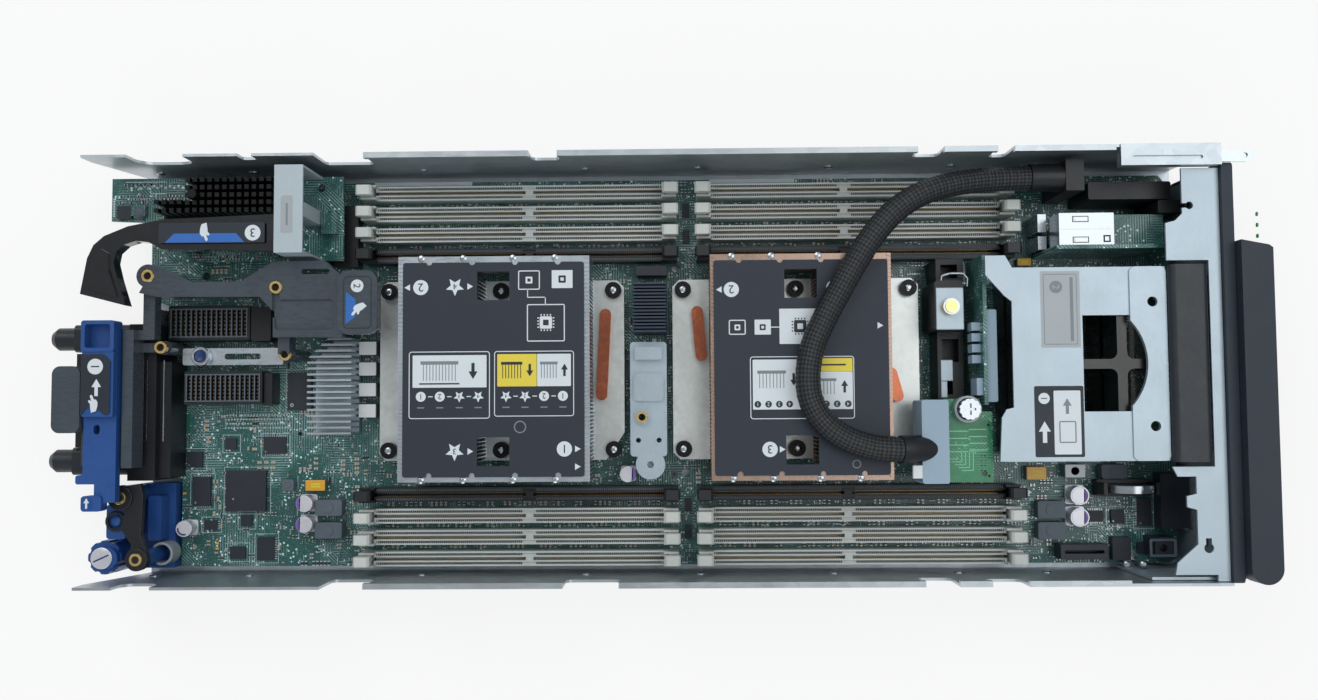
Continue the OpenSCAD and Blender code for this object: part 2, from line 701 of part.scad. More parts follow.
// ---- processors and heatsinks ----

rear_cpu = [-60.8, 0];
front_cpu = [xf - 190.4, 0];
cpu_pos = [rear_cpu, front_cpu];
lid_z = bz + 7.2;                    // top of a processor's lid
base_top = lid_z + sink_base_t;
screw_dx = sink_base_l / 2 - 4.6;
screw_dy = sink_base_w / 2 - 4.6;

module cpu_sockets() {
    color("#3a3b40") for (c = cpu_pos) translate([c[0], c[1], bz]) union() {
        slab(-29, 29, -26, 26, 0, 3.4, 1);
        difference() {
            slab(-38, 38, -31, 31, 0, 5.6, 2);
            slab(-29.6, 29.6, -26.6, 26.6, -1, 8, 1);
        }
    }
}

module processors() {
    color("silver") for (c = cpu_pos) translate([c[0], c[1], bz + 3.4]) union() {
        slab(-26.2, 26.2, -22.5, 22.5, 0, 1.3, 0.6);
        slab(-19, 19, -19, 19, 1.3, lid_z - bz - 3.4, 2);
    }
}

module sink_base(c) {
    l = sink_base_l / 2;
    w = sink_base_w / 2;
    translate([c[0], c[1], lid_z]) difference() {
        linear_extrude(sink_base_t) polygon([[-l + 3, -w], [l - 8, -w], [l - 4, -w + 6], [l, -w + 12], [l, w - 3],
            [l - 3, w], [-l + 3, w], [-l, w - 3], [-l, -w + 3]]);
        for (sx = [-1, 1], sy = [-1, 1]) translate([sx * screw_dx, sy * screw_dy, -1]) cylinder(h = 9, r = 2.4);
        for (sy = [-1, 1]) translate([0, sy * screw_dy, -1]) cylinder(h = 9, r = 2.4);
    }
}

// A comb of fins between a floor and a roof, cut for the two screw wells.
module fin_stack(c, w) {
    gap = fin_top - base_top;
    n = floor(fin_span / fin_pitch / 2);
    translate([c[0], c[1], 0]) difference() {
        translate([-w / 2, 0, 0]) rotate([90, 0, 90]) linear_extrude(w) union() {
            translate([-sink_base_w / 2 + 1, base_top]) square([sink_base_w - 2, 0.8]);
            translate([-fin_span / 2, fin_top - 0.8]) square([fin_span, 0.8]);
            for (k = [-n:n]) translate([k * (fin_span - fin_t) / (2 * n) - fin_t / 2, base_top + e])
                square([fin_t, gap - e]);
        }
        for (sy = [-1, 1]) translate([0, sy * screw_dy, base_top - 1]) linear_extrude(gap + 3) square([14, 12.5], center = true);
    }
}

module sink_plate(c, w) {
    translate([c[0], c[1], fin_top]) linear_extrude(1.1) difference() {
        translate([0, -0.3]) rounded(w, fin_span - 4.8, 1.2);
        for (sy = [-1, 1]) translate([0, sy * screw_dy]) square([13.6, 12.1], center = true);
        // dimples along the edges
        for (sy = [-1, 1], k = [-1.5:1.5]) translate([k * (w / 4 - 1), sy * (fin_span / 2 - 2.6)]) circle(1.3);
    }
}

module rear_sink_base() {
    color("silver") sink_base(rear_cpu);
}

module rear_sink_fins() {
    color("#9fa3a8") fin_stack(rear_cpu, rear_fin_w);
}

module rear_sink_plate() {
    color("#2e333d") sink_plate(rear_cpu, rear_fin_w - 4.4);
}

module front_sink_base() {
    color("silver") sink_base(front_cpu);
}

module front_sink_fins() {
    color("#a58d78") fin_stack(front_cpu, front_fin_w);
}

module front_sink_plate() {
    color("#2e333d") sink_plate(front_cpu, front_fin_w - 3);
}

// Flattened copper pipes that lie on the base plates beside the fins.
module heat_pipe(x, y, l, a) {
    translate([x, y, base_top]) rotate(a) linear_extrude(4.4) stadium(l, 5);
}

module heat_pipes() {
    color("chocolate") union() {
        heat_pipe(rear_cpu[0] + rear_fin_w / 2 + 4.6, 6.5, 40, 87);
        heat_pipe(front_cpu[0] - front_fin_w / 2 - 4.4, 15.5, 24, 95);
        heat_pipe(front_cpu[0] + front_fin_w / 2 + 4.4, -7.5, 15, 105);
    }
}

module sink_screw(x, y) {
    union() {
        peg(x, y, bz, base_top, 1.9);
        difference() {
            peg(x, y, base_top, base_top + 3.4, 3.6);
            translate([x, y, base_top + 1.6]) cylinder(h = 3, r = 1.8, $fn = 6);
        }
    }
}

module sink_screws() {
    color("#2b2d33") for (c = cpu_pos) {
        for (sx = [-1, 1], sy = [-1, 1]) sink_screw(c[0] + sx * screw_dx, c[1] + sy * screw_dy);
        for (sy = [-1, 1]) sink_screw(c[0], c[1] + sy * screw_dy);
    }
}

// Chipset heatsink with its clipped corner, and the ribbed block between the processors.
module board_sinks() {
    color("silver") union() {
        difference() {
            translate([xr + 113.8, 0, bz + 1.6]) rotate([90, 0, 90]) linear_extrude(19.4) union() {
                translate([-27.6, 0]) square([42.2, 2.4]);
                for (k = [0:16]) translate([-27.6 + k * 2.58, 0]) square([0.9, 15]);
            }
            translate([xr + 113.8, 14.6, 0]) rotate(45) cube([13, 13, 60], center = true);
        }
        block(xr + 118, xr + 130, -20, 4, bz, bz + 1.6);
        translate([-2.4, 0, bz]) rotate([90, 0, 90]) linear_extrude(14.2) union() {
            translate([15.8, 0]) square([21.4, 4]);
            for (k = [0:14]) translate([15.8 + k * 1.47, 0]) square([0.8, 22]);
        }
    }
}

// Plain packages on the board: [x, y, length, width, height].
rear_chips = [[82, -52.8, 18, 18, 2.2], [61.8, -53, 8, 13, 1.6], [58.4, -38.8, 7, 7, 1.2], [74.6, -31.8, 5, 5, 1.2],
    [94.6, -32.6, 10, 7.6, 1.8], [78.4, -80.3, 7, 5.4, 1.4], [91, -78.6, 7.6, 10, 1.8], [105.8, -8.5, 10.6, 16.6, 2.2],
    [82, -66, 5, 5, 1.2], [66, -68, 6, 4, 1.2]];
front_chips = [[48.4, -66.2, 5.8, 5.8, 1.4], [36.6, -64.2, 6, 12, 1.6], [37.6, -80, 5, 5, 1.2], [58, -66, 7, 5, 1.2],
    [88, 30, 6, 6, 1.4], [48, -80, 8, 10, 4]];

module chips() {
    color("#2b2d33") union() {
        for (c = rear_chips) translate([xr + c[0] - c[2] / 2, c[1] - c[3] / 2, bz]) cube([c[2], c[3], c[4]]);
        for (c = front_chips) translate([xf - c[0] - c[2] / 2, c[1] - c[3] / 2, bz]) cube([c[2], c[3], c[4]]);
        for (y = [-72, -60, 60, 72]) translate([20.9, y, bz + 0.6]) cube([3, 6, 1.2], center = true);
        // edge slot, small box and coil block near the bezel
        difference() {
            block(xf - 76.2, xf - 55.6, -83.9, -77.6, bz, bz + 9);
            block(xf - 74.4, xf - 57.4, -81.5, -80, bz + 3, bz + 10);
        }
        slab(xf - 37, xf - 27.4, -82.9, -74.2, bz, bz + 13, 0.8);
        slab(front_cpu[0] - 70, front_cpu[0] - 56.4, 41.4, 45.6, bz, bz + 12, 0.6);
        // header on the board's front edge, reached through the bezel's port
        difference() {
            block(xf - 32, frame_x - sheet - 0.4, port_y0 + 1, port_y0 + port_w - 1, bz, bz + 8);
            block(xf - 27, xf - 10, port_y0 + 3, port_y0 + port_w - 3, bz + 2, bz + 6.4);
        }
    }
}

module coil(x, y, l, w, h) {
    translate([x, y, bz]) union() {
        slab(-l / 2, l / 2, -w / 2, w / 2, 0, h, 1);
        translate([0, 0, h]) cylinder(h = 0.3, r = min(l, w) / 2 - 1.2);
    }
}

module inductors() {
    color("gray") union() {
        for (y = [10.4, 1.2, -8, -17.4]) coil(xr + 137.8, y, 8, 6.2, 7);
        coil(xr + 101.6, -50.2, 5, 5, 4);
        coil(xr + 120.4, -60.2, 12, 7, 6);
        coil(xr + 120.4, -70.2, 12, 7, 6);
        coil(xf - 78.8, -62.6, 12, 7.4, 6);
        coil(xf - 78.8, -71.8, 12, 7.4, 6);
        coil(xf - 68.2, -45.8, 9, 6, 6);
        coil(xf - 51, -46.2, 11, 6.2, 6);
        coil(xr + 114, -50.4, 9, 5, 4.4);
        coil(xf - 84.6, -46.8, 9, 6, 4.4);
        coil(xf - 87.4, 47, 6.4, 3.6, 3);
    }
}

module can(x, y, r, h) {
    translate([x, y, bz]) union() {
        slab(-r, r, -r, r, 0, 1, 1);
        translate([0, 0, 1]) cylinder(h = h - 1, r = r - 0.15);
    }
}

module capacitors() {
    color("lavender") union() {
        can(xf - 67, -56.4, 4.2, 8);
        can(xf - 67.2, -65.9, 4.2, 8);
        can(xr + 110.2, -58.3, 3.8, 8);
        can(xr + 110.2, -67.4, 3.8, 8);
        can(xr + 56.8, -69, 3.4, 8);
        can(-5.6, -46, 3.4, 8);
    }
}

coin_x = xf - 47;
coin_y = -53.2;
coin_r = 10;
coin_t = 3.2;

module coin_cell() {
    color("silver") translate([coin_x, coin_y + coin_t / 2, bz + 2 + coin_r]) rotate([90, 0, 0])
        cylinder(h = coin_t, r = coin_r);
}

module coin_holder() {
    color("#26272b") difference() {
        union() {
            slab(coin_x - 12, coin_x + 12, coin_y - 3.6, coin_y + 3.6, bz, bz + 6, 1);
            for (s = [-1, 1]) block(coin_x + s * 11.2 - 0.8, coin_x + s * 11.2 + 0.8, coin_y - 2.6, coin_y + 2.6, bz, bz + 15);
        }
        block(coin_x - 10.4, coin_x + 10.4, coin_y - coin_t / 2 - fit, coin_y + coin_t / 2 + fit, bz + 1.7, bz + 30);
    }
}

module centre_bracket() {
    color("silver") difference() {
        union() {
            // stamped cover plate with two side rails and a lobe
            slab(-4.1, 11.9, -38, 11.9, bz + 12.8, bz + 14, 1.5);
            block(-4.1, -2.9, -36, 10, bz, bz + 13);
            block(10.7, 11.9, -36, 10, bz, bz + 13);
            translate([4.6, -41.6, bz + 12.8]) cylinder(h = 1.2, r = 6.4);
            peg(4.6, -41.6, bz, bz + 13, 2.6);
            slab(-2, 9.8, 4, 9.6, bz + 14, bz + 17, 1);
            slab(-2.6, 10.4, -14, -2, bz + 14, bz + 15.2, 2);
            peg(1.1, -20.9, bz + 14, bz + 15.4, 3.4);
        }
        peg(1.1, -20.9, bz + 10, bz + 20, 1.8);
        translate([4.6, -41.6, bz + 10]) cylinder(h = 9, r = 1.6, $fn = 6);
        for (x = [-0.6, 8.4]) peg(x, -31, bz + 10, bz + 20, 1.1);
    }
}

// ---- rear connector, mezzanine frame and release slide ----

pin_mid = -11.75;                    // middle between the guide pins
conn_top = 28;

module rear_connector() {
    color("#26272b") difference() {
        union() {
            block(xr + 14, xr + 37, -32.4, 8.2, bz, conn_top);
            block(xr + 37, xr + 49, -47, 21, bz, conn_top);
            block(xr + 49, xr + 54, -46, 4.6, bz, conn_top - 4);
        }
        // contact columns in the mating face, and the row of holes on top
        for (k = [0:9]) block(xr + 12, xr + 20, -30.8 + k * 3.9, -28.8 + k * 3.9, bz + 2, conn_top - 2);
        for (k = [0:19]) translate([xr + 41, -28.6 + k * 1.74, conn_top - 2]) cylinder(h = 3, r = 0.5);
    }
}

module guide_pins() {
    color("dimgray") for (s = [-1, 1]) translate([xr, pin_mid + s * pin_gap / 2, pin_z]) union() {
        rotate([0, 90, 0]) rotate_extrude() polygon([[0, 0], [pin_r - 1.8, 0], [pin_r, 2.4], [pin_r, pin_l + 1], [0, pin_l + 1]]);
        difference() {
            translate([pin_l, 0, 0]) rotate([90, 0, 90]) linear_extrude(37 - pin_l) rounded(12, 14, 2.5);
            if (s < 0) block(13.7, 40, 6 - 1.2 - fit, 10, -20, 20);
        }
    }
}

m1_x0 = xr + 50.4;
m2_x0 = xr + 57.8;

// Sockets of the two mezzanine positions, with a row of ribs over each.
module mezz_sockets() {
    color("#26272b") union() {
        difference() {
            slab(m1_x0, m1_x0 + 36.3, 14.2, 29.6, bz, 20, 1);
            for (k = [0:14]) block(m1_x0 + 1.6 + k * 2.25, m1_x0 + 3 + k * 2.25, 16.4, 27.4, 16, 21);
        }
        slab(m1_x0 + 36.8, m1_x0 + 45.6, 13.8, 28.9, bz, 20, 1);
        difference() {
            slab(m2_x0, m2_x0 + 34.6, -14.2, 0.6, bz, 20, 1);
            for (k = [0:14]) block(m2_x0 + 1.4 + k * 2.16, m2_x0 + 2.8 + k * 2.16, -12, -1.6, 16, 21);
        }
        slab(m2_x0 + 34.8, m2_x0 + 38.4, -14.4, -0.3, bz, 18, 0.8);
    }
}

ring_a = [xr + 50.2, 40.6];
ring_b = [xr + 105.1, 35.3];
ring_c = [xr + 53.5, 10.4];
ring_d = [xr + 107.3, 7];
rail_x = xr + 40;
slide_x1 = rail_x - 1.3;
slide_x0 = slide_x1 - slide_w;
slide_y1 = 21.4;
slide_y0 = slide_y1 - slide_l;
bed_z = 34;
slide_z = 38;

// Lift-out frame: two lift tabs, a rail and bed for the release slide, and four posts with inserts.
module mezz_frame() {
    color("#303137") difference() {
        union() {
            translate([0, 0, bed_z]) linear_extrude(6) union() {
                polygon([[xr + 53, 45], [xr + 59, 42.5], [xr + 69.3, 37.9], [xr + 90, 38], [xr + 103.7, 46.3],
                    [xr + 125.5, 46.6], [xr + 130.4, 42.5], [xr + 133.7, 40], [xr + 133.7, 13.9], [xr + 104, 14.1],
                    [xr + 103.9, 25.1], [xr + 98.1, 31.3], [xr + 54.6, 31.6], [xr + 46.4, 33.4]]);
                translate(ring_a) circle(5);
            }
            // lift tab beside the heatsink
            slab(xr + 132, xr + 148.8, 14.9, 42, 38, 42, 4.5);
            slab(xr + 146, xr + 148.8, 17, 40, 35, 40, 1);
            for (p = [ring_a, ring_b]) peg(p[0], p[1], bz, 40, 4.4);
            for (p = [ring_c, ring_d]) peg(p[0], p[1], bz, 30, 3);
            block(ring_a[0] - 3.6, ring_a[0] + 1.4, 14, 40, 30, 36);
            block(rail_x + 2, ring_c[0], ring_c[1] - 2, ring_c[1] + 2, conn_top + fit, 32);
            block(ring_d[0] - 2.5, ring_d[0] + 2.5, 7, 15, 28, 36);
            // rail, bed and the tab over the rear connector
            block(rail_x, rail_x + 4.5, -41, 17.7, 30, 40);
            block(rail_x, ring_a[0] + 1, 13.6, 17.7, 30, 36);
            block(slide_x0 - 3, rail_x + 1, -40, 16, bed_z, slide_z - fit);
            block(slide_x0 - 3.6, slide_x0 - 0.6, -24, 0, bed_z, 43);
            slab(slide_x0 - 12.6, slide_x0 - 0.6, -26, 2.2, 41, 44.4, 3.5);
        }
        // inserts' bores, the key's groove and finger relief
        for (p = [ring_a, ring_b]) peg(p[0], p[1], 30, 50, 1.6);
        for (p = [ring_c, ring_d]) peg(p[0], p[1], 20, 40, 1.6);
        block((slide_x0 + slide_x1) / 2 - 2, (slide_x0 + slide_x1) / 2 + 2, -50, 30, slide_z - 2, slide_z + 1);
        slab(xr + 104.6, xr + 130, 17, 30, 38.8, 41, 2);
        slab(ring_b[0] - 1.6, ring_b[0] + 1.6, 22, 35.3, 38, 41, 1.5);
        // bores for the cross bar of the lift tab
        slab(xr + 116, xr + 128, 40.8, 43, 30, 41, 1);
    }
}

module lock_bar() {
    color("silver") union() {
        difference() {
            union() {
                slab(xr + 57.4, xr + 102, 3.2, 10.6, 18, 21, 1);
                peg(xr + 66.1, 6.9, 18, 22.6, 4);
                block(xr + 60, xr + 70, 4, 9.8, bz, 18.5);
                block(xr + 92, xr + 98, 4, 9.8, bz, 18.5);
            }
            peg(xr + 66.1, 6.9, 12, 30, 2.6);
            slab(xr + 76, xr + 92, 5.6, 8.2, 17, 22, 1.2);
        }
        block(xr + 42.7, xr + 48, 21.4, 27.8, bz, 24.6);
        peg(xr + 45.4, 24.6, 24.6, 27.2, 1.2);
    }
}

module release_slide() {
    xm = (slide_x0 + slide_x1) / 2;
    color("royalblue") difference() {
        union() {
            slab(slide_x0, slide_x1, slide_y0, slide_y1, slide_z, slide_z + 4, 1.2);
            slab(slide_x0, slide_x1, slide_y1 - 13.2, slide_y1, slide_z, slide_z + 7.5, 1.2);
            slab(slide_x0 + 0.4, slide_x1 - 0.2, slide_y1 - 40.6, slide_y1 - 12.6, slide_z, slide_z + 7, 1);
            block(xm - 1.7, xm + 1.7, -38, 15, slide_z - 1.7, slide_z + 1);
            // hook, arm and arrow tab at the lower end
            slab(slide_x0 - 3, slide_x0 + 6, slide_y0 - 2.4, slide_y0 + 1.4, slide_z, slide_z + 4, 1);
            slab(slide_x1 - 9, slide_x1, slide_y0 - 10.1, slide_y0 + 3, slide_z, slide_z + 4, 1);
            slab(slide_x0 + 0.2, slide_x0 + 8.8, slide_y0 - 13.7, slide_y0 - 7.2, slide_z, slide_z + 5.4, 1.4);
        }
        slab(slide_x0 + 1.6, slide_x1 - 1.6, slide_y1 - 11.6, slide_y1 - 1.6, slide_z + 2, slide_z + 9, 1);
        translate([xm - 1.3, slide_y1 - 46, slide_z - 3]) linear_extrude(12) rotate(90) stadium(4.1, 2.7);
    }
}

lock_x = xr + 27.4;
lock_y = yb + 10.5;

module turn_lock() {
    color("royalblue") union() {
        peg(lock_x, lock_y, 8, 20.4, 3);
        difference() {
            peg(lock_x, lock_y, 20.3, 27, 7.3);
            for (a = [0:45:315]) translate([lock_x, lock_y, 19]) rotate(a + 22.5) translate([8.2, 0, 0]) cylinder(h = 9, r = 1.6);
        }
        peg(lock_x + 2.2, lock_y, 27, 30, 4.6);
    }
}

module slide_guide() {
    color("#3a66b0") difference() {
        union() {
            block(xr + 36.2, xr + 51.4, yb + 4, yb + 41.5, sheet, 12);
            block(lock_x, xr + 40, yb + 8, yb + 34, 5, 12);
            peg(lock_x, lock_y, 5, 20, 7.4);
            peg(xr + 36.5, yb + 36.5, 5, 30, 5);
            slab(xr + 29.3, xr + 37.6, yb + 18.7, yb + 33.5, 5, 30, 1.4);
            peg(xr + 44, yb + 10.2, sheet, 30, 4.4);
            slab(xr + 42.7, xr + 48.5, yb + 16.9, yb + 36.5, sheet, 20, 1);
        }
        peg(lock_x, lock_y, 7.7, 40, 3 + run);
        peg(xr + 36.5, yb + 36.5, 22, 40, 1.6);
        peg(xr + 44, yb + 10.2, 22, 40, 1.6);
        peg(xr + 33.6, yb + 26.4, 27, 40, 2.6);
    }
}

// ---- network card ----

lan_z = 22;
lan_t = 1.6;

module lan_board() {
    color("seagreen") union() {
        translate([0, 0, lan_z]) linear_extrude(lan_t) difference() {
            polygon([[xr + 26, yt - 4.6], [xr + 26, 67], [xr + 47, 66], [xr + 53, 48.6], [xr + 129, 48.6], [xr + 129, yt - 4.6]]);
            translate([xr + 119, 81]) circle(1.8);
        }
        peg(xr + 43, 78, bz, lan_z, 2.6);
        peg(xr + 89, 53, bz, lan_z, 2.6);
        peg(xr + 112, 76, bz, lan_z, 2.6);
        block(xr + 32, xr + 42, 69, 73.6, lan_z + lan_t, lan_z + lan_t + 2.4);
        block(xr + 120.4, xr + 127, 60, 70, lan_z + lan_t, lan_z + lan_t + 4);
    }
}

module lan_sink() {
    x0 = xr + 50.3;
    z0 = lan_z + lan_t;
    color("#26272b") union() {
        block(x0, x0 + 13.8, 67.1, 75, z0, z0 + 2.4);
        block(x0 + 13.7, x0 + 52.5, 67.1, 84.7, z0, z0 + 2.4);
        translate([0, 0, z0 + 2]) linear_extrude(38 - z0 - 2) union() {
            for (i = [0:3], j = [0:1]) translate([x0 + 1 + i * 3.3, 68.2 + j * 3.6]) square(1.9);
            for (i = [0:11], j = [0:4]) if (!(i == 1 && j == 2)) translate([x0 + 14.4 + i * 3.2, 68.2 + j * 3.3]) square(1.9);
        }
        peg(x0 + 18.5, 75.7, z0 + 2, 41, 1.9);
    }
}

module lan_handle() {
    color("#1d1e22") union() {
        translate([0, 0, 44]) linear_extrude(6) polygon([[xr + 26.3, 32.1], [xr + 29, 47], [xr + 31.6, 52.6],
            [xr + 36, 56.4], [xr + 46, 60.4], [xr + 60.2, 63.1], [xr + 107.6, 65], [xr + 107.6, 49.5], [xr + 60.4, 50.6],
            [xr + 55, 53.6], [xr + 49.5, 54.2], [xr + 44.5, 52.6], [xr + 41, 49.4], [xr + 40.2, 45], [xr + 42, 38],
            [xr + 45.5, 27.1]]);
        // raised cover at the free end and legs on the card
        translate([0, 0, 50]) linear_extrude(1.2) polygon([[xr + 29.6, 34], [xr + 31.6, 46.4], [xr + 35, 51],
            [xr + 38.4, 49], [xr + 38.6, 42], [xr + 42.4, 30.6]]);
        block(xr + 60, xr + 66, 52, 60, lan_z + lan_t, 44.5);
        block(xr + 98, xr + 104, 52, 60, lan_z + lan_t, 44.5);
    }
}

// Folded band over the inner end of the handle.
module lan_band() {
    x0 = xr + 107.8;
    color("whitesmoke") union() {
        block(x0, x0 + 12, 49.6, 84.6, 50, 51);
        block(x0, x0 + 12, 48.6, 49.6, lan_z + lan_t, 51);
        block(x0, x0 + 12, 84.6, 85.6, lan_z + lan_t, 51);
        block(x0 + 4, x0 + 12, 64, 70, lan_z + lan_t, 50.5);
    }
}

// Plastic parts that stay on the system board under the card.
module lan_shroud() {
    color("#303137") union() {
        slab(xr + 122.6, xr + 133.4, 46.8, 74.2, bz, 16, 1);
        slab(xr + 58, xr + 82, 56, 63, bz, lan_z, 1);
        slab(xr + 112.6, xr + 120, 47, 58, bz, 20, 1);
    }
}

chassis_pan();
front_frame();
pull_tab();
bezel();
bay_shroud();
release_lever();
lever_pin();
release_button();
power_button();
drive_cage();
drive_blank_upper();
drive_blank_lower();
backplane();
backplane_connectors();
cage_bracket();
cage_screw();
cable_board();
cable_socket();
thumb_screw();
cable();
front_header();
usb_riser();
usb_port();
system_board();
sockets_white();
sockets_black();
latches_a();
latches_b();
latches_c();
latches_d();
cpu_sockets();
processors();
rear_sink_base();
rear_sink_fins();
rear_sink_plate();
front_sink_base();
front_sink_fins();
front_sink_plate();
heat_pipes();
sink_screws();
board_sinks();
chips();
inductors();
capacitors();
coin_cell();
coin_holder();
centre_bracket();
rear_connector();
guide_pins();
mezz_sockets();
mezz_frame();
lock_bar();
release_slide();
turn_lock();
slide_guide();
lan_board();
lan_sink();
lan_handle();
lan_shroud();
lan_band();
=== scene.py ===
import math
import random

import bpy
import numpy as np
from mathutils import Matrix, Vector
from mathutils.bvhtree import BVHTree


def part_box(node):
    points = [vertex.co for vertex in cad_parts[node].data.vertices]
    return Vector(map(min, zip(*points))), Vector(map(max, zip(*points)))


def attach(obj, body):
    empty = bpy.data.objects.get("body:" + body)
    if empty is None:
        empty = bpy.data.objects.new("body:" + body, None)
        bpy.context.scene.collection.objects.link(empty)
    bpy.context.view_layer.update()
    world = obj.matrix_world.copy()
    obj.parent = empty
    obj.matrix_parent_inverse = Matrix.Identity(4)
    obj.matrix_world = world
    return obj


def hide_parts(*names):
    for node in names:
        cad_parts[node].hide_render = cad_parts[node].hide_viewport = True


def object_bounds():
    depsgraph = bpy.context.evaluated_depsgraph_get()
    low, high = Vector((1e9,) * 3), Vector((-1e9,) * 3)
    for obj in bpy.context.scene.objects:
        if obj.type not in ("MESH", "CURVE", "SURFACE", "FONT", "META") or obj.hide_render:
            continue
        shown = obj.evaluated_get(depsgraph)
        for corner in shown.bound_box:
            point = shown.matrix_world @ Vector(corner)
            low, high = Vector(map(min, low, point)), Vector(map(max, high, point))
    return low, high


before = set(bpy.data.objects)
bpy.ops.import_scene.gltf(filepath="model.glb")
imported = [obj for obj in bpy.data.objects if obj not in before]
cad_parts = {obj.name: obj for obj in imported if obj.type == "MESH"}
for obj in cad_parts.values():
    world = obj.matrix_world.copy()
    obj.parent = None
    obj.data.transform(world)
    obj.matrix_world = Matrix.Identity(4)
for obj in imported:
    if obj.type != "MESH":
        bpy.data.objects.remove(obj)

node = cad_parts
cad_lo, cad_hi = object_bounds()
MM = 0.001
XR, XF = cad_lo.x / MM, cad_hi.x / MM          # rear and front end of the blade, mm
scene = bpy.context.scene


# ---------------------------------------------------------------- camera

LENS, SENSOR = 31.41123, 36                    # mm
EYE = (0.0172, -0.01825, 0.5241)               # m
TILT = {"X": -3.03, "Y": -0.98, "Z": 0.43}     # degrees off the vertical


def look():
    """A camera over the open tray, turned by small angles off the vertical."""
    data = bpy.data.cameras.new("camera")
    data.lens, data.sensor_width = LENS, SENSOR
    data.sensor_fit = "HORIZONTAL"
    data.clip_start, data.clip_end = 0.01, 10
    cam = bpy.data.objects.new("camera", data)
    scene.collection.objects.link(cam)
    x, y, z = (Matrix.Rotation(math.radians(TILT[a]), 3, a) for a in "XYZ")
    cam.matrix_world = Matrix.Translation(EYE) @ (z @ y @ x).transposed().to_4x4()
    scene.camera = cam


look()


# ---------------------------------------------------------------- solids in millimetres

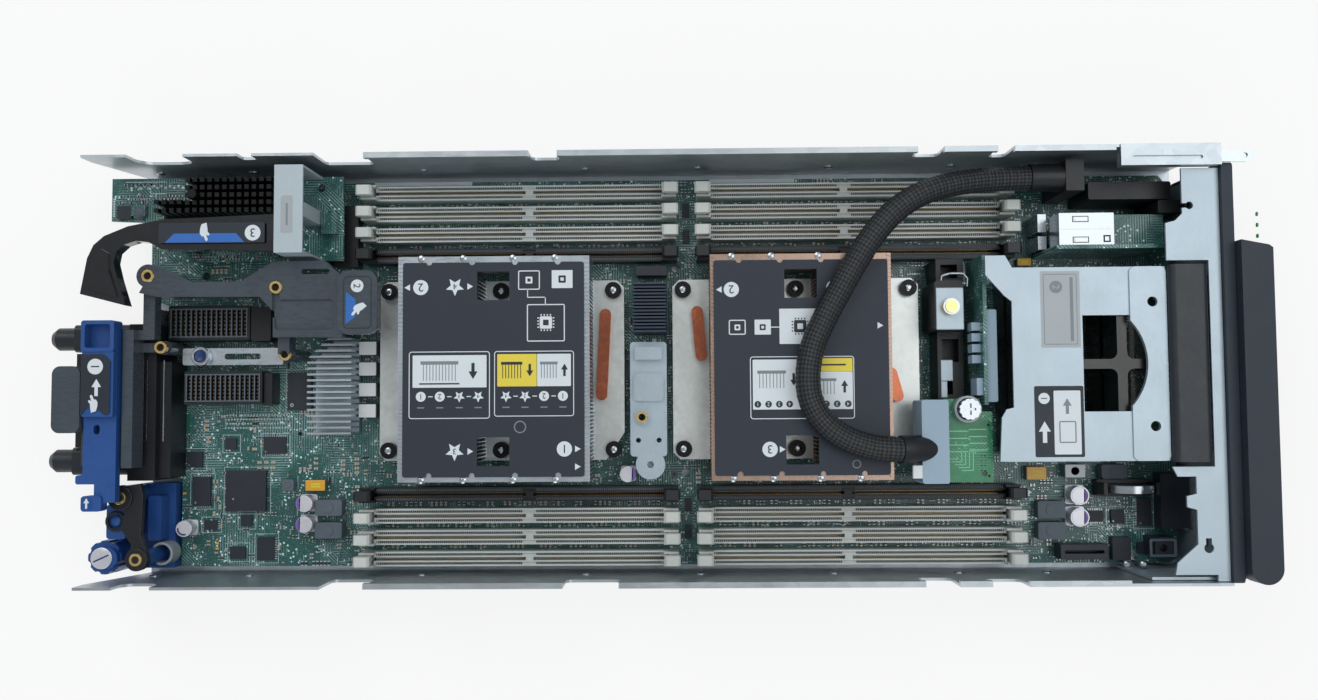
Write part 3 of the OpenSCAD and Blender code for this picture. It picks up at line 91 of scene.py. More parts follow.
class Shape:
    """Collects closed solids, in millimetres, that make one piece."""

    def __init__(self):
        self.v, self.f, self.uv = [], [], None

    def add(self, verts, faces):
        n = len(self.v)
        self.v += [tuple(p) for p in verts]
        self.f += [tuple(i + n for i in face) for face in faces]
        return self

    def box(self, x0, x1, y0, y1, z0, z1, turn=0, mid=None):
        v = [(x, y, z) for z in (z0, z1) for x, y in ((x0, y0), (x1, y0), (x1, y1), (x0, y1))]
        if turn:
            cx, cy = mid or ((x0 + x1) / 2, (y0 + y1) / 2)
            c, s = math.cos(math.radians(turn)), math.sin(math.radians(turn))
            v = [(cx + (x - cx) * c - (y - cy) * s, cy + (x - cx) * s + (y - cy) * c, z) for x, y, z in v]
        return self.add(v, [(3, 2, 1, 0), (4, 5, 6, 7), (0, 1, 5, 4), (1, 2, 6, 5), (2, 3, 7, 6), (3, 0, 4, 7)])

    def prism(self, pts, z0, z1, at=(0, 0), size=1, turn=0, axis="z"):
        c, s = math.cos(math.radians(turn)) * size, math.sin(math.radians(turn)) * size
        pts = [(at[0] + x * c - y * s, at[1] + x * s + y * c) for x, y in pts]
        if sum(a[0] * b[1] - b[0] * a[1] for a, b in zip(pts, pts[1:] + pts[:1])) < 0:
            pts = pts[::-1]
        n = len(pts)
        if axis == "x":
            v = [(z, x, y) for z in (z0, z1) for x, y in pts]
        elif axis == "y":
            v = [(x, z, y) for z in (z1, z0) for x, y in pts]
        else:
            v = [(x, y, z) for z in (z0, z1) for x, y in pts]
        return self.add(v, [tuple(range(n - 1, -1, -1)), tuple(range(n, 2 * n))]
                        + [(i, (i + 1) % n, (i + 1) % n + n, i + n) for i in range(n)])

    def ring(self, outer, inner, z0, z1, at=(0, 0), turn=0):
        """A flat frame between two outlines with as many points each."""
        c, s = math.cos(math.radians(turn)), math.sin(math.radians(turn))
        n = len(outer)
        v = [(at[0] + x * c - y * s, at[1] + x * s + y * c, z)
             for pts, z in ((outer, z0), (outer, z1), (inner, z1), (inner, z0)) for x, y in pts]
        return self.add(v, [(k * n + i, k * n + j, (k + 1) % 4 * n + j, (k + 1) % 4 * n + i)
                            for k in range(4) for i in range(n) for j in [(i + 1) % n]])

    def lathe(self, x, y, profile, n=28, axis="z"):
        """A turned solid: x and y place its axis, profile lists (radius, height) from end to end."""
        rows, v = len(profile), []
        for r, h in profile:
            for i in range(n):
                a = 2 * math.pi * i / n
                p, q = r * math.cos(a), r * math.sin(a)
                v.append({"z": (x + p, y + q, h), "x": (h, x + p, y + q), "y": (x + q, h, y + p)}[axis])
        f = [tuple(range(n - 1, -1, -1)), tuple(range((rows - 1) * n, rows * n))]
        f += [(k * n + i, k * n + (i + 1) % n, (k + 1) * n + (i + 1) % n, (k + 1) * n + i)
              for k in range(rows - 1) for i in range(n)]
        return self.add(v, f)

    def tube(self, pts, r, n=10):
        """A round wire along a line of points."""
        pts = [Vector(p) for p in pts]
        up, v = Vector((0.13, 0.21, 0.97)), []
        for i, p in enumerate(pts):
            d = (pts[min(i + 1, len(pts) - 1)] - pts[max(i - 1, 0)]).normalized()
            side = d.cross(up).normalized()
            up = side.cross(d).normalized()
            v += [p + (side * math.cos(a) + up * math.sin(a)) * r for a in (2 * math.pi * k / n for k in range(n))]
        f = [tuple(range(n)), tuple(range((len(pts) - 1) * n, len(pts) * n))[::-1]]
        f += [(k * n + i, (k + 1) * n + i, (k + 1) * n + (i + 1) % n, k * n + (i + 1) % n)
              for k in range(len(pts) - 1) for i in range(n)]
        return self.add(v, f)

    def mark(self, text, x, y, z0, z1, size, turn=0):
        """A plain number, as a flat raised figure."""
        verts, faces = figure(text)
        c, s = math.cos(math.radians(turn)) * size, math.sin(math.radians(turn)) * size
        return self.add([(x + a * c - b * s, y + a * s + b * c, z1 if h > 0 else z0) for a, b, h in verts], faces)

    def piece(self, name, material, body="tray", smooth=0, bevel=0):
        mesh = bpy.data.meshes.new(name)
        mesh.from_pydata([(x * MM, y * MM, z * MM) for x, y, z in self.v], [], self.f)
        mesh.materials.append(material)
        obj = bpy.data.objects.new(name, mesh)
        scene.collection.objects.link(obj)
        if smooth:
            mesh.shade_smooth()
            mesh.set_sharp_from_angle(angle=math.radians(smooth))
        if bevel:
            m = obj.modifiers.new("edge", "BEVEL")
            m.width, m.segments, m.limit_method, m.angle_limit = bevel * MM, 2, "ANGLE", math.radians(40)
        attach(obj, body)
        return obj


FIGURES = {}


def figure(text):
    """Closed mesh of a number from the built-in font, centred, one unit tall."""
    if text not in FIGURES:
        curve = bpy.data.curves.new("figure", "FONT")
        curve.body, curve.size, curve.extrude, curve.resolution_u = text, 1.4, 0.05, 4
        curve.align_x, curve.align_y = "CENTER", "CENTER"
        obj = bpy.data.objects.new("figure", curve)
        scene.collection.objects.link(obj)
        mesh = bpy.data.meshes.new_from_object(obj.evaluated_get(bpy.context.evaluated_depsgraph_get()))
        keys, index, verts = {}, [], []
        for v in mesh.vertices:
            k = (round(v.co.x, 4), round(v.co.y, 4), round(v.co.z, 4))
            if k not in keys:
                keys[k] = len(verts)
                verts.append(k)
            index.append(keys[k])
        faces = [tuple(dict.fromkeys(index[i] for i in p.vertices)) for p in mesh.polygons]
        faces = [f for f in faces if len(f) > 2]
        mx = (min(v[0] for v in verts) + max(v[0] for v in verts)) / 2
        my = (min(v[1] for v in verts) + max(v[1] for v in verts)) / 2
        FIGURES[text] = [(a - mx, b - my, h) for a, b, h in verts], faces
        bpy.data.objects.remove(obj)
    return FIGURES[text]


def circle(r, n=32, x=0, y=0):
    return [(x + r * math.cos(2 * math.pi * i / n), y + r * math.sin(2 * math.pi * i / n)) for i in range(n)]


def rounded(w, h, r, n=5):
    """A rectangle with round corners, n + 1 points to a corner."""
    a, b, out = w / 2 - r, h / 2 - r, []
    for cx, cy, start in ((a, b, 0), (-a, b, 90), (-a, -b, 180), (a, -b, 270)):
        turns = [math.radians(start + 90 * i / n) for i in range(n + 1)]
        out += [(cx + r * math.cos(t), cy + r * math.sin(t)) for t in turns]
    return out


def square(a, b):
    return [(a, b), (-a, b), (-a, -b), (a, -b)]


STAR = [(math.sin(math.pi * i / 5) * r, math.cos(math.pi * i / 5) * r) for i, r in enumerate((1, 0.46) * 5)]
ARROW = [(-0.2, -1), (0.2, -1), (0.2, 0.05), (0.56, 0.05), (0, 1), (-0.56, 0.05), (-0.2, 0.05)]
WEDGE = [(-0.5, -0.8), (0.9, 0), (-0.5, 0.8)]
HAND = [(-0.62, -0.98), (-0.02, -1.0), (0.34, -0.5), (0.5, -0.06), (0.42, 0.28), (0.2, 0.36), (0.16, 0.92),
        (0.02, 1.0), (-0.12, 0.9), (-0.14, 0.3), (-0.36, 0.5), (-0.52, 0.4), (-0.4, 0.02), (-0.5, -0.3)]


# ---------------------------------------------------------------- materials

def lin(*c):
    """A colour as it should look, 0 to 255, turned into the linear one that the shader needs."""
    return tuple((v / 255 / 12.92 if v <= 10.3 else ((v / 255 + 0.055) / 1.055) ** 2.4) for v in c) + (1.0,)


class Mat:
    """Builds a node material: textures in object space, so that they stay with a piece that moves."""

    def __init__(self, name, color, rough=0.5, metal=0.0, coat=0.0, spec=0.5):
        self.m = bpy.data.materials.new(name)
        self.m.use_nodes = True
        self.t = self.m.node_tree
        self.b = self.t.nodes["Principled BSDF"]
        self.b.inputs["Base Color"].default_value = color
        self.b.inputs["Roughness"].default_value = rough
        self.b.inputs["Metallic"].default_value = metal
        self.b.inputs["Coat Weight"].default_value = coat
        self.b.inputs["Specular IOR Level"].default_value = spec
        self.color, self.rough = color, rough
        self.pos = self.t.nodes.new("ShaderNodeTexCoord").outputs["Object"]

    def n(self, kind, out=0, **kw):
        x = self.t.nodes.new("ShaderNode" + kind)
        for k, v in kw.items():
            if k.startswith("_"):
                setattr(x, k[1:], v)
            else:
                s = x.inputs[int(k[1:])] if k[0] == "i" and k[1:].isdigit() else x.inputs[k.replace("_", " ")]
                if isinstance(v, bpy.types.NodeSocket):
                    self.t.links.new(v, s)
                else:
                    s.default_value = v
        return x.outputs[out]

    def math(self, op, a, b=0.0, c=0.0, clamp=False):
        return self.n("Math", _operation=op, _use_clamp=clamp, i0=a, i1=b, i2=c)

    def scaled(self, x, y, z):
        return self.n("Mapping", Vector=self.pos, Scale=(x, y, z))

    def noise(self, scale, detail=3.0, rough=0.55, vec=None, out=0):
        return self.n("TexNoise", out, Vector=vec or self.pos, Scale=scale, Detail=detail, Roughness=rough)

    def ramp(self, fac, lo, hi, a=0.0, b=1.0):
        return self.n("MapRange", Value=fac, From_Min=lo, From_Max=hi, To_Min=a, To_Max=b)

    def blend(self, fac, a, b):
        x = self.t.nodes.new("ShaderNodeMix")
        x.data_type = "RGBA"
        for s, v in ((x.inputs[0], fac), (x.inputs[6], a), (x.inputs[7], b)):
            if isinstance(v, bpy.types.NodeSocket):
                self.t.links.new(v, s)
            else:
                s.default_value = v
        return x.outputs[2]

    def to(self, socket, value):
        self.t.links.new(value, self.b.inputs[socket])
        return self

    def bump(self, height, strength=0.3, distance=0.0002):
        return self.to("Normal", self.n("Bump", Height=height, Strength=strength, Distance=distance))

    def grain(self, scale=900, amount=0.12, sway=0.1, bump=0.25, stretch=(1, 1, 1), depth=0.00012):
        """Small changes of tone, gloss and height, as moulded or rolled surfaces have."""
        vec = self.scaled(*stretch)
        fine, wide = self.noise(scale, 4, vec=vec), self.noise(scale / 22, 3)
        tone = self.math("ADD", self.math("MULTIPLY", fine, 0.5), self.math("MULTIPLY", wide, 0.5))
        c = self.color
        dark = tuple(v * (1 - 1.6 * amount) for v in c[:3]) + (1,)
        light = tuple(min(1, v * (1 + 1.6 * amount)) for v in c[:3]) + (1,)
        self.shade = self.blend(self.ramp(tone, 0.3, 0.7), dark, light)
        self.to("Base Color", self.shade)
        self.to("Roughness", self.ramp(tone, 0.3, 0.7, max(0.03, self.rough - sway), min(1, self.rough + sway)))
        if bump:
            self.bump(fine, bump, depth)
        return self


def plain(name, rgb, rough=0.5, metal=0.0, coat=0.0, **kw):
    return Mat(name, lin(*rgb), rough, metal, coat).grain(**kw).m


def zinc():
    m = Mat("zinc_sheet", lin(176, 186, 192), 0.36, 0.86)
    m.grain(700, 0.05, 0.08, 0.1, (0.12, 1, 1))
    cell = m.n("TexVoronoi", 1, Vector=m.pos, Scale=190)
    spangle = m.n("SeparateColor", Color=cell)
    m.to("Base Color", m.blend(m.math("MULTIPLY", spangle, 0.35), m.shade, lin(208, 216, 220)))
    return m.m


def board_mask(name, base, pale, density=1.0):
    """Solder mask over copper: bundles of fine tracks, vias and a slightly uneven green."""
    m = Mat(name, lin(*base), 0.38, 0, 0.25)
    at = m.n("SeparateXYZ", Vector=m.pos)
    x, y = at, at.node.outputs[1]
    cell = m.n("TexVoronoi", 1, Vector=m.pos, Scale=95, _distance="CHEBYCHEV")
    pick = m.n("SeparateColor", Color=cell)
    pick2 = pick.node.outputs[1]
    diag = m.math("ADD", m.math("MULTIPLY", x, 0.7071), m.math("MULTIPLY", y, 0.7071))
    side = m.math("LESS_THAN", pick, 0.42)
    tilt = m.math("GREATER_THAN", pick, 0.72)
    run = m.math("ADD", m.math("MULTIPLY", side, x), m.math("MULTIPLY", m.math("SUBTRACT", 1.0, side), y))
    run = m.math("ADD", m.math("MULTIPLY", m.math("SUBTRACT", 1.0, tilt), run), m.math("MULTIPLY", tilt, diag))
    wave = m.math("SINE", m.math("MULTIPLY", run, 2 * math.pi / 0.0011))
    track = m.math("MULTIPLY", m.ramp(wave, 0.1, 0.6), m.math("LESS_THAN", pick2, 0.62 * density))
    dot = m.n("TexVoronoi", 0, Vector=m.pos, Scale=520)
    via = m.math("MULTIPLY", m.math("LESS_THAN", dot, 0.24), m.math("GREATER_THAN", m.noise(120, 2), 0.5))
    patch = m.ramp(m.noise(60, 4), 0.42, 0.6)
    fine = m.noise(1500, 3)
    base_col = m.blend(m.ramp(m.noise(35, 3), 0.3, 0.7), tuple(v * 0.72 for v in lin(*base)[:3]) + (1,), lin(*base))
    col = m.blend(m.math("MULTIPLY", track, m.math("MULTIPLY", patch, 0.62)), base_col, lin(*pale))
    col = m.blend(m.math("MULTIPLY", via, 0.75 * density), col, lin(*[min(255, v + 50) for v in pale]))
    col = m.blend(m.math("MULTIPLY", m.ramp(fine, 0.55, 0.75), 0.35 * density), col, lin(*pale))
    m.to("Base Color", col)
    m.bump(m.math("ADD", m.math("MULTIPLY", track, 0.6), via), 0.35, 0.00008)
    return m.m


def latch_mat():
    """Ivory latches on the outer rows, black ones on the inner row."""
    m = Mat("latch_nylon", lin(200, 206, 202), 0.46).grain(1100, 0.05, 0.07, 0.2)
    y = m.n("SeparateXYZ", 1, Vector=m.pos)
    inner = m.math("LESS_THAN", m.math("ABSOLUTE", y), 0.0579)
    m.to("Base Color", m.blend(inner, m.shade, lin(27, 31, 36)))
    return m.m


def split_x(name, a, b, at, metal=(0, 0), rough=0.45, **kw):
    """One node whose solids on either side of a plane differ in finish."""
    m = Mat(name, lin(*a), rough).grain(**kw)
    x = m.n("SeparateXYZ", 0, Vector=m.pos)
    left = m.math("LESS_THAN", x, at * MM)
    m.to("Base Color", m.blend(left, lin(*b), m.shade))
    m.to("Metallic", m.math("ADD", m.math("MULTIPLY", left, metal[0] - metal[1]), metal[1]))
    return m.m


ZINC = zinc()
PALE = plain("pale_steel", (174, 190, 200), 0.42, 0.55, scale=1300, amount=0.04, bump=0.12, stretch=(1, 0.4, 1))
STEEL = plain("bright_steel", (182, 190, 196), 0.24, 0.95, scale=900, amount=0.04, bump=0.08)
NICKEL = plain("nickel_plate", (206, 212, 210), 0.36, 0.82, scale=420, amount=0.07, bump=0.12)
ALU = plain("aluminium_fin", (196, 206, 214), 0.3, 0.9, scale=1200, amount=0.05, bump=0.1, stretch=(0.2, 1, 1))
BRONZE = plain("bronze_fin", (172, 148, 134), 0.3, 0.85, scale=1200, amount=0.07, bump=0.1, stretch=(1, 0.2, 1))
COPPER = plain("copper_pipe", (176, 104, 78), 0.24, 0.95, scale=500, amount=0.12, bump=0.15)
BRASS = plain("brass_turned", (232, 202, 136), 0.24, 0.95, scale=1600, amount=0.05, bump=0.1, stretch=(1, 1, 0.2))
GOLD = plain("gold_contact", (214, 178, 104), 0.3, 0.9, scale=1600, amount=0.05, bump=0.05)
TIN = plain("tinned_end", (196, 204, 208), 0.33, 0.75, scale=2200, amount=0.08, bump=0.2)
LABEL = plain("slate_label", (34, 43, 57), 0.55, 0, scale=1500, amount=0.05, bump=0.1)
SLATE = plain("slate_plastic", (34, 45, 57), 0.55, 0, scale=2100, amount=0.14, bump=0.55)
BLACK = plain("black_plastic", (19, 23, 28), 0.44, 0, scale=1300, amount=0.1, bump=0.25)
GLOSS = plain("gloss_black", (18, 22, 27), 0.18, 0, 0.5, scale=260, amount=0.1, sway=0.06, bump=0.06)
SATIN = plain("satin_black", (60, 70, 80), 0.3, 0, 0.4, scale=700, amount=0.12, bump=0.12, stretch=(0.3, 1, 1))
ROLL = plain("dark_roll", (30, 38, 45), 0.4, 0, scale=1700, amount=0.1, bump=0.35, stretch=(1, 0.3, 1))
IVORY = plain("ivory_nylon", (196, 203, 200), 0.45, 0, scale=1100, amount=0.05, bump=0.2)
WHITE = plain("white_print", (214, 224, 230), 0.5, 0, scale=1600, amount=0.03, bump=0.08)
PAPER = plain("white_paper", (218, 224, 226), 0.62, 0, scale=1300, amount=0.03, bump=0.15)
YELLOW = plain("yellow_print", (226, 208, 72), 0.5, 0, scale=1600, amount=0.03, bump=0.08)
BLUE = plain("blue_plastic", (34, 78, 144), 0.4, 0, scale=1200, amount=0.08, bump=0.25)
DARKBLUE = plain("deep_blue", (26, 52, 104), 0.35, 0, scale=900, amount=0.08, bump=0.15)
ANODISED = plain("black_anodised", (15, 16, 19), 0.4, 0.5, scale=1200, amount=0.12, bump=0.2)
BLOCK = plain("grey_block", (146, 170, 188), 0.5, 0, scale=1300, amount=0.04, bump=0.2)
BAND = plain("band_steel", (176, 190, 198), 0.5, 0.2, scale=1500, amount=0.04, bump=0.12)
VOID = plain("drive_blank", (12, 14, 17), 0.3, 0, 0.3, scale=900, amount=0.1, bump=0.1)
CHIP = plain("chip_epoxy", (36, 43, 52), 0.5, 0, scale=1900, amount=0.1, bump=0.3)
TAN = plain("tan_ceramic", (176, 152, 124), 0.45, 0, scale=2500, amount=0.1, bump=0.2)
DARKPART = plain("black_ceramic", (36, 40, 46), 0.4, 0, scale=2500, amount=0.1, bump=0.2)
AMBER = plain("amber_tantalum", (222, 166, 40), 0.35, 0, 0.3, scale=1500, amount=0.08, bump=0.1)
PURPLE = plain("purple_sleeve", (122, 92, 176), 0.4, 0, scale=1500, amount=0.06, bump=0.1)
CAN = plain("can_top", (220, 222, 230), 0.32, 0.4, scale=1200, amount=0.04, bump=0.1)
FERRITE = plain("ferrite", (88, 100, 110), 0.55, 0, scale=1500, amount=0.1, bump=0.35)
PCB = board_mask("board_green", (28, 92, 88), (160, 196, 194), 1.5)
PCB2 = board_mask("board_bright", (30, 126, 84), (110, 178, 140), 0.5)
LATCH = latch_mat()

finish_of = {
    "chassis_pan": ZINC, "front_frame": PALE, "pull_tab": STEEL, "bezel": SLATE, "bay_shroud": ROLL,
    "release_lever": SLATE, "lever_pin": STEEL, "release_button": BLUE, "power_button": WHITE, "drive_cage": PALE,
    "drive_blank_upper": VOID, "drive_blank_lower": VOID, "backplane": PCB, "backplane_connectors": BLOCK,
    "cage_bracket": BLACK, "cage_screw": BRASS, "cable_board": PCB2, "cable_socket": BLOCK, "thumb_screw": STEEL,
    "front_header": BLACK, "usb_riser": PCB, "usb_port": STEEL, "system_board": PCB, "sockets_white": IVORY,
    "sockets_black": BLACK, "latches_a": LATCH, "latches_b": LATCH, "latches_c": LATCH, "latches_d": LATCH,
    "cpu_sockets": BLACK, "processors": NICKEL, "rear_sink_base": NICKEL, "rear_sink_fins": ALU,
    "rear_sink_plate": LABEL, "front_sink_base": NICKEL, "front_sink_fins": BRONZE, "front_sink_plate": LABEL,
    "heat_pipes": COPPER, "sink_screws": ANODISED,
    "board_sinks": split_x("board_sink", (190, 202, 210), (50, 62, 78), -100, (0.9, 0.1), 0.34,
                           scale=900, amount=0.05, bump=0.1),
    "chips": CHIP, "inductors": FERRITE, "capacitors": CAN, "coin_cell": STEEL, "coin_holder": BLACK,
    "centre_bracket": PALE, "rear_connector": BLACK, "guide_pins": ROLL, "mezz_sockets": BLACK, "mezz_frame": SATIN,
    "lock_bar": ALU, "release_slide": BLUE, "turn_lock": BLUE, "slide_guide": BLUE, "lan_board": PCB,
    "lan_sink": ANODISED, "lan_handle": GLOSS, "lan_band": BAND, "lan_shroud": BLACK,
}
for name, mat in finish_of.items():
    for s in node[name].material_slots:
        s.link = "OBJECT"
        s.material = mat


# ---------------------------------------------------------------- floor and light

WHITE_SHARE = 0.8      # how far the floor goes to plain white where the camera or a mirror sees it
LAMPS = (((-0.5, 0.9, 1.1), 0.9, 6.6), ((0.7, 0.2, 1.3), 1.0, 5.4), ((-0.1, -1.1, 0.9), 0.9, 4.4))


def floor_paper():
    """Pale paper for the light, nearly white for the camera."""
    m = bpy.data.materials.new("paper_floor")
    m.use_nodes = True
    t = m.node_tree
    paper = t.nodes["Principled BSDF"]
    paper.inputs["Base Color"].default_value = (0.86, 0.87, 0.88, 1)
    paper.inputs["Roughness"].default_value = 0.8

    def calc(operation, a, b):
        x = t.nodes.new("ShaderNodeMath")
        x.operation = operation
        t.links.new(a, x.inputs[0])
        if isinstance(b, float):
            x.inputs[1].default_value = b
        else:
            t.links.new(b, x.inputs[1])
        return x.outputs[0]

    ray = t.nodes.new("ShaderNodeLightPath").outputs
    seen = calc("MAXIMUM", ray["Is Camera Ray"], ray["Is Glossy Ray"])
    seen = calc("MAXIMUM", seen, ray["Is Transmission Ray"])
    glow = t.nodes.new("ShaderNodeEmission")
    glow.inputs["Color"].default_value = (1, 1, 1, 1)
    glow.inputs["Strength"].default_value = 1.0
    mix = t.nodes.new("ShaderNodeMixShader")
    t.links.new(calc("MULTIPLY", seen, WHITE_SHARE), mix.inputs[0])
    t.links.new(paper.outputs[0], mix.inputs[1])
    t.links.new(glow.outputs[0], mix.inputs[2])
    t.links.new(mix.outputs[0], t.nodes["Material Output"].inputs[0])
    return m


def stage():
    mesh = bpy.data.meshes.new("floor")
    s, z = 3.0, -0.0004
    mesh.from_pydata([(-s, -s, z), (s, -s, z), (s, s, z), (-s, s, z)], [], [(0, 1, 2, 3)])
    mesh.materials.append(floor_paper())
    floor = bpy.data.objects.new("floor", mesh)
    scene.collection.objects.link(floor)
    world = bpy.data.worlds.new("world")
    scene.world = world
    world.use_nodes = True
    sky = world.node_tree.nodes["Background"].inputs
    sky[0].default_value, sky[1].default_value = (0.96, 0.98, 1, 1), 0.4
    for spot, size, power in LAMPS:
        data = bpy.data.lights.new("softbox", "AREA")
        data.size, data.energy = size, power
        lamp = bpy.data.objects.new("softbox", data)
        lamp.location = spot
        lamp.rotation_euler = Vector(spot).to_track_quat("Z", "Y").to_euler()
        scene.collection.objects.link(lamp)


stage()
scene.view_settings.view_transform = "Standard"


# ---------------------------------------------------------------- cable

def smooth_line(pts, step=0.5):
    """Points every step along a Catmull-Rom line through pts."""
    p = [Vector(a) for a in pts]
    p = [p[0] * 2 - p[1]] + p + [p[-1] * 2 - p[-2]]
    out = []
    for i in range(1, len(p) - 2):
        n = max(2, int((p[i + 1] - p[i]).length / step))
        for k in range(n):
            t = k / n
            out.append(0.5 * (2 * p[i] + (p[i + 1] - p[i - 1]) * t
                              + (2 * p[i - 1] - 5 * p[i] + 4 * p[i + 1] - p[i + 2]) * t * t
                              + (3 * p[i] - 3 * p[i + 1] + p[i + 2] - p[i - 1]) * t ** 3))
    out.append(p[-2])
    return out


CABLE_D = 10.6
route = [(XF - a, y, z) for a, y, z in (
    (78, 80, 35), (89, 80, 35), (101, 79.6, 35.6), (114, 78.4, 38), (127, 76, 42), (140, 71.6, 45.8),
    (151, 64.6, 47.8), (160, 55, 48.1), (168, 43, 48.1), (175, 31, 48.1), (181, 20, 48.1), (186, 9, 48.1),
    (188.4, -3, 48.1), (187.4, -14, 48.1), (182, -23.4, 48.1), (173, -30, 48.1), (162.6, -33.6, 48.1),
    (154, -34.6, 48.1), (147.6, -34.8, 46.6), (142.4, -34.8, 44), (138, -34.8, 41.6))]
line = smooth_line(route, 0.55)


def cable():
    s = Shape()
    n, up, dist, at = 40, Vector((0.1, 0.2, 0.97)), 0.0, []
    for i, p in enumerate(line):
        d = (line[min(i + 1, len(line) - 1)] - line[max(i - 1, 0)]).normalized()
        side = d.cross(up).normalized()
        up = side.cross(d).normalized()
        if i:
            dist += (p - line[i - 1]).length
        at.append(dist)
        for k in range(n):
            a = 2 * math.pi * k / n
            # crossing strands of the braid stand out in turn
            u, v = dist / 3.4, k / n * 10
            weave = math.sin(math.pi * (u + v)) * math.sin(math.pi * (u - v))
            r = CABLE_D / 2 - 0.16 + 0.15 * weave
            s.v.append(tuple(p + (side * math.cos(a) + up * math.sin(a)) * r))
    m = len(line)
    s.f = [tuple(range(n)), tuple(range((m - 1) * n, m * n))[::-1]]
    s.f += [(k * n + i, (k + 1) * n + i, (k + 1) * n + (i + 1) % n, k * n + (i + 1) % n)
            for k in range(m - 1) for i in range(n)]
    mat = Mat("braided_sleeve", lin(20, 22, 26), 0.42)
    uv = mat.n("UVMap", _uv_map="along")
    w = mat.n("SeparateXYZ", Vector=uv)
    u, v = mat.math("MULTIPLY", w, 1 / 0.0017), mat.math("MULTIPLY", w.node.outputs[1], 20.0)
    braid = mat.math("MULTIPLY", mat.math("SINE", mat.math("MULTIPLY", mat.math("ADD", u, v), math.pi)),
                     mat.math("SINE", mat.math("MULTIPLY", mat.math("SUBTRACT", u, v), math.pi)))
    fleck = mat.noise(900, 2)
    # the strand crests are painted lighter and the gaps between strands darker: painted sheen on the crests and
    # painted shade in the gaps, on top of the bump
    tone = mat.blend(mat.ramp(braid, -0.4, 0.7), lin(11, 12, 14), lin(44, 50, 56))
    tint = mat.blend(mat.ramp(mat.noise(160, 2), 0.4, 0.65), lin(44, 60, 72), lin(70, 66, 56))
    mat.to("Base Color", mat.blend(mat.math("MULTIPLY", mat.ramp(fleck, 0.58, 0.7), 0.5), tone, tint))
    mat.to("Roughness", mat.ramp(braid, -0.5, 0.8, 0.7, 0.34))
    mat.bump(braid, 0.6, 0.00025)
    obj = s.piece("cable_sleeve", mat.m, smooth=60)
    layer = obj.data.uv_layers.new(name="along")
    for poly in obj.data.polygons:
        ks = [obj.data.loops[li].vertex_index for li in poly.loop_indices]
        wrap = len(ks) == 4 and {k % n for k in ks} == {0, n - 1}
        for li, k in zip(poly.loop_indices, ks):
            layer.data[li].uv = (at[k // n] * MM, 1.0 if wrap and k % n == 0 else (k % n) / n)
    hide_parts("cable")
    return obj


sleeve = cable()


# ---------------------------------------------------------------- memory sockets

BANKS = ((-53.2, 4.3), (95.2, -4.5))    # middle of each bank, and of its sockets' keys from there, mm
CONTACT_PITCH, CONTACTS_A_SIDE = 0.85, 74
INNER = 57                              # the black sockets lie nearer to the middle than this
ROWS = (79.3, 69.94, 60.58, 51.22, -54.42, -63.78, -73.14, -82.5)
slits, dim_slits, contacts = Shape(), Shape(), Shape()
for cx, key in BANKS:
    for y in ROWS:
        row = dim_slits if abs(y) < INNER else slits
        for i in range(-CONTACTS_A_SIDE, CONTACTS_A_SIDE + 1):
            x = cx + i * CONTACT_PITCH
            if abs(x - cx - key) < 3.1:
                continue
            for s in (-1, 1):
                row.box(x - 0.21, x + 0.21, y + s * 1.98 - 0.5, y + s * 1.98 + 0.5, 16.9, 17.03)
                contacts.box(x - 0.16, x + 0.16, y + s * 0.66 - 0.1, y + s * 0.66 + 0.1, 13.6, 16.1)
slits.piece("memory_contact_slits", DARKPART)
dim_slits.piece("memory_contact_slits_black", FERRITE)
contacts.piece("memory_contacts", GOLD)

# ribs on the front latches of each bank
for letter in "bd":
    x1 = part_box("latches_" + letter)[1].x / MM
    s = Shape()
    for y in ROWS:
        if abs(y) > INNER:
            for k in range(4):
                s.box(x1 - 6.1 + k * 1.5, x1 - 5.6 + k * 1.5, y - 2.3, y + 2.3, 26.6, 27.15)
    s.piece("latch_ribs_" + letter, IVORY, "latches_" + letter, bevel=0.08)

# ---------------------------------------------------------------- small parts on the board

rng = random.Random(11)
corners, sides = [], []
for name, obj in node.items():
    if name == "cable":
        continue
    k = len(corners)
    corners += [v.co.copy() for v in obj.data.vertices]
    sides += [tuple(k + i for i in p.vertices) for p in obj.data.polygons]
tree = BVHTree.FromPolygons(corners, sides)
CELL = 0.6                                     # the board as a grid: size of a cell, its corner, its cells
GX, GY = -218.6, -88.0
NX, NY = int(438 / CELL), int(176 / CELL)
free = np.zeros((NX, NY), bool)
UP, DOWN = Vector((0, 0, 1)), Vector((0, 0, -1))
for i in range(NX):
    for j in range(NY):
        p = Vector(((GX + (i + 0.5) * CELL) * MM, (GY + (j + 0.5) * CELL) * MM, 8.02 * MM))
        hit = tree.ray_cast(p, DOWN, 0.0004)[0]
        if hit is None or abs(hit.z - 0.008) > 3e-5:
            continue
        hit, nor, _, d = tree.ray_cast(p, UP, 0.06)
        free[i, j] = hit is None or (d > 0.0026 and nor.z < 0)
bare = free.copy()


def claim(x, y, w, h, gap=0.3, grid=None):
    """Take a w by h place on the board if all of it is free."""
    g = free if grid is None else grid
    i0, i1 = int((x - w / 2 - gap - GX) / CELL), int((x + w / 2 + gap - GX) / CELL) + 1
    j0, j1 = int((y - h / 2 - gap - GY) / CELL), int((y + h / 2 + gap - GY) / CELL) + 1
    if i0 < 0 or j0 < 0 or i1 > NX or j1 > NY or not g[i0:i1, j0:j1].all():
        return False
    g[i0:i1, j0:j1] = False
    return True


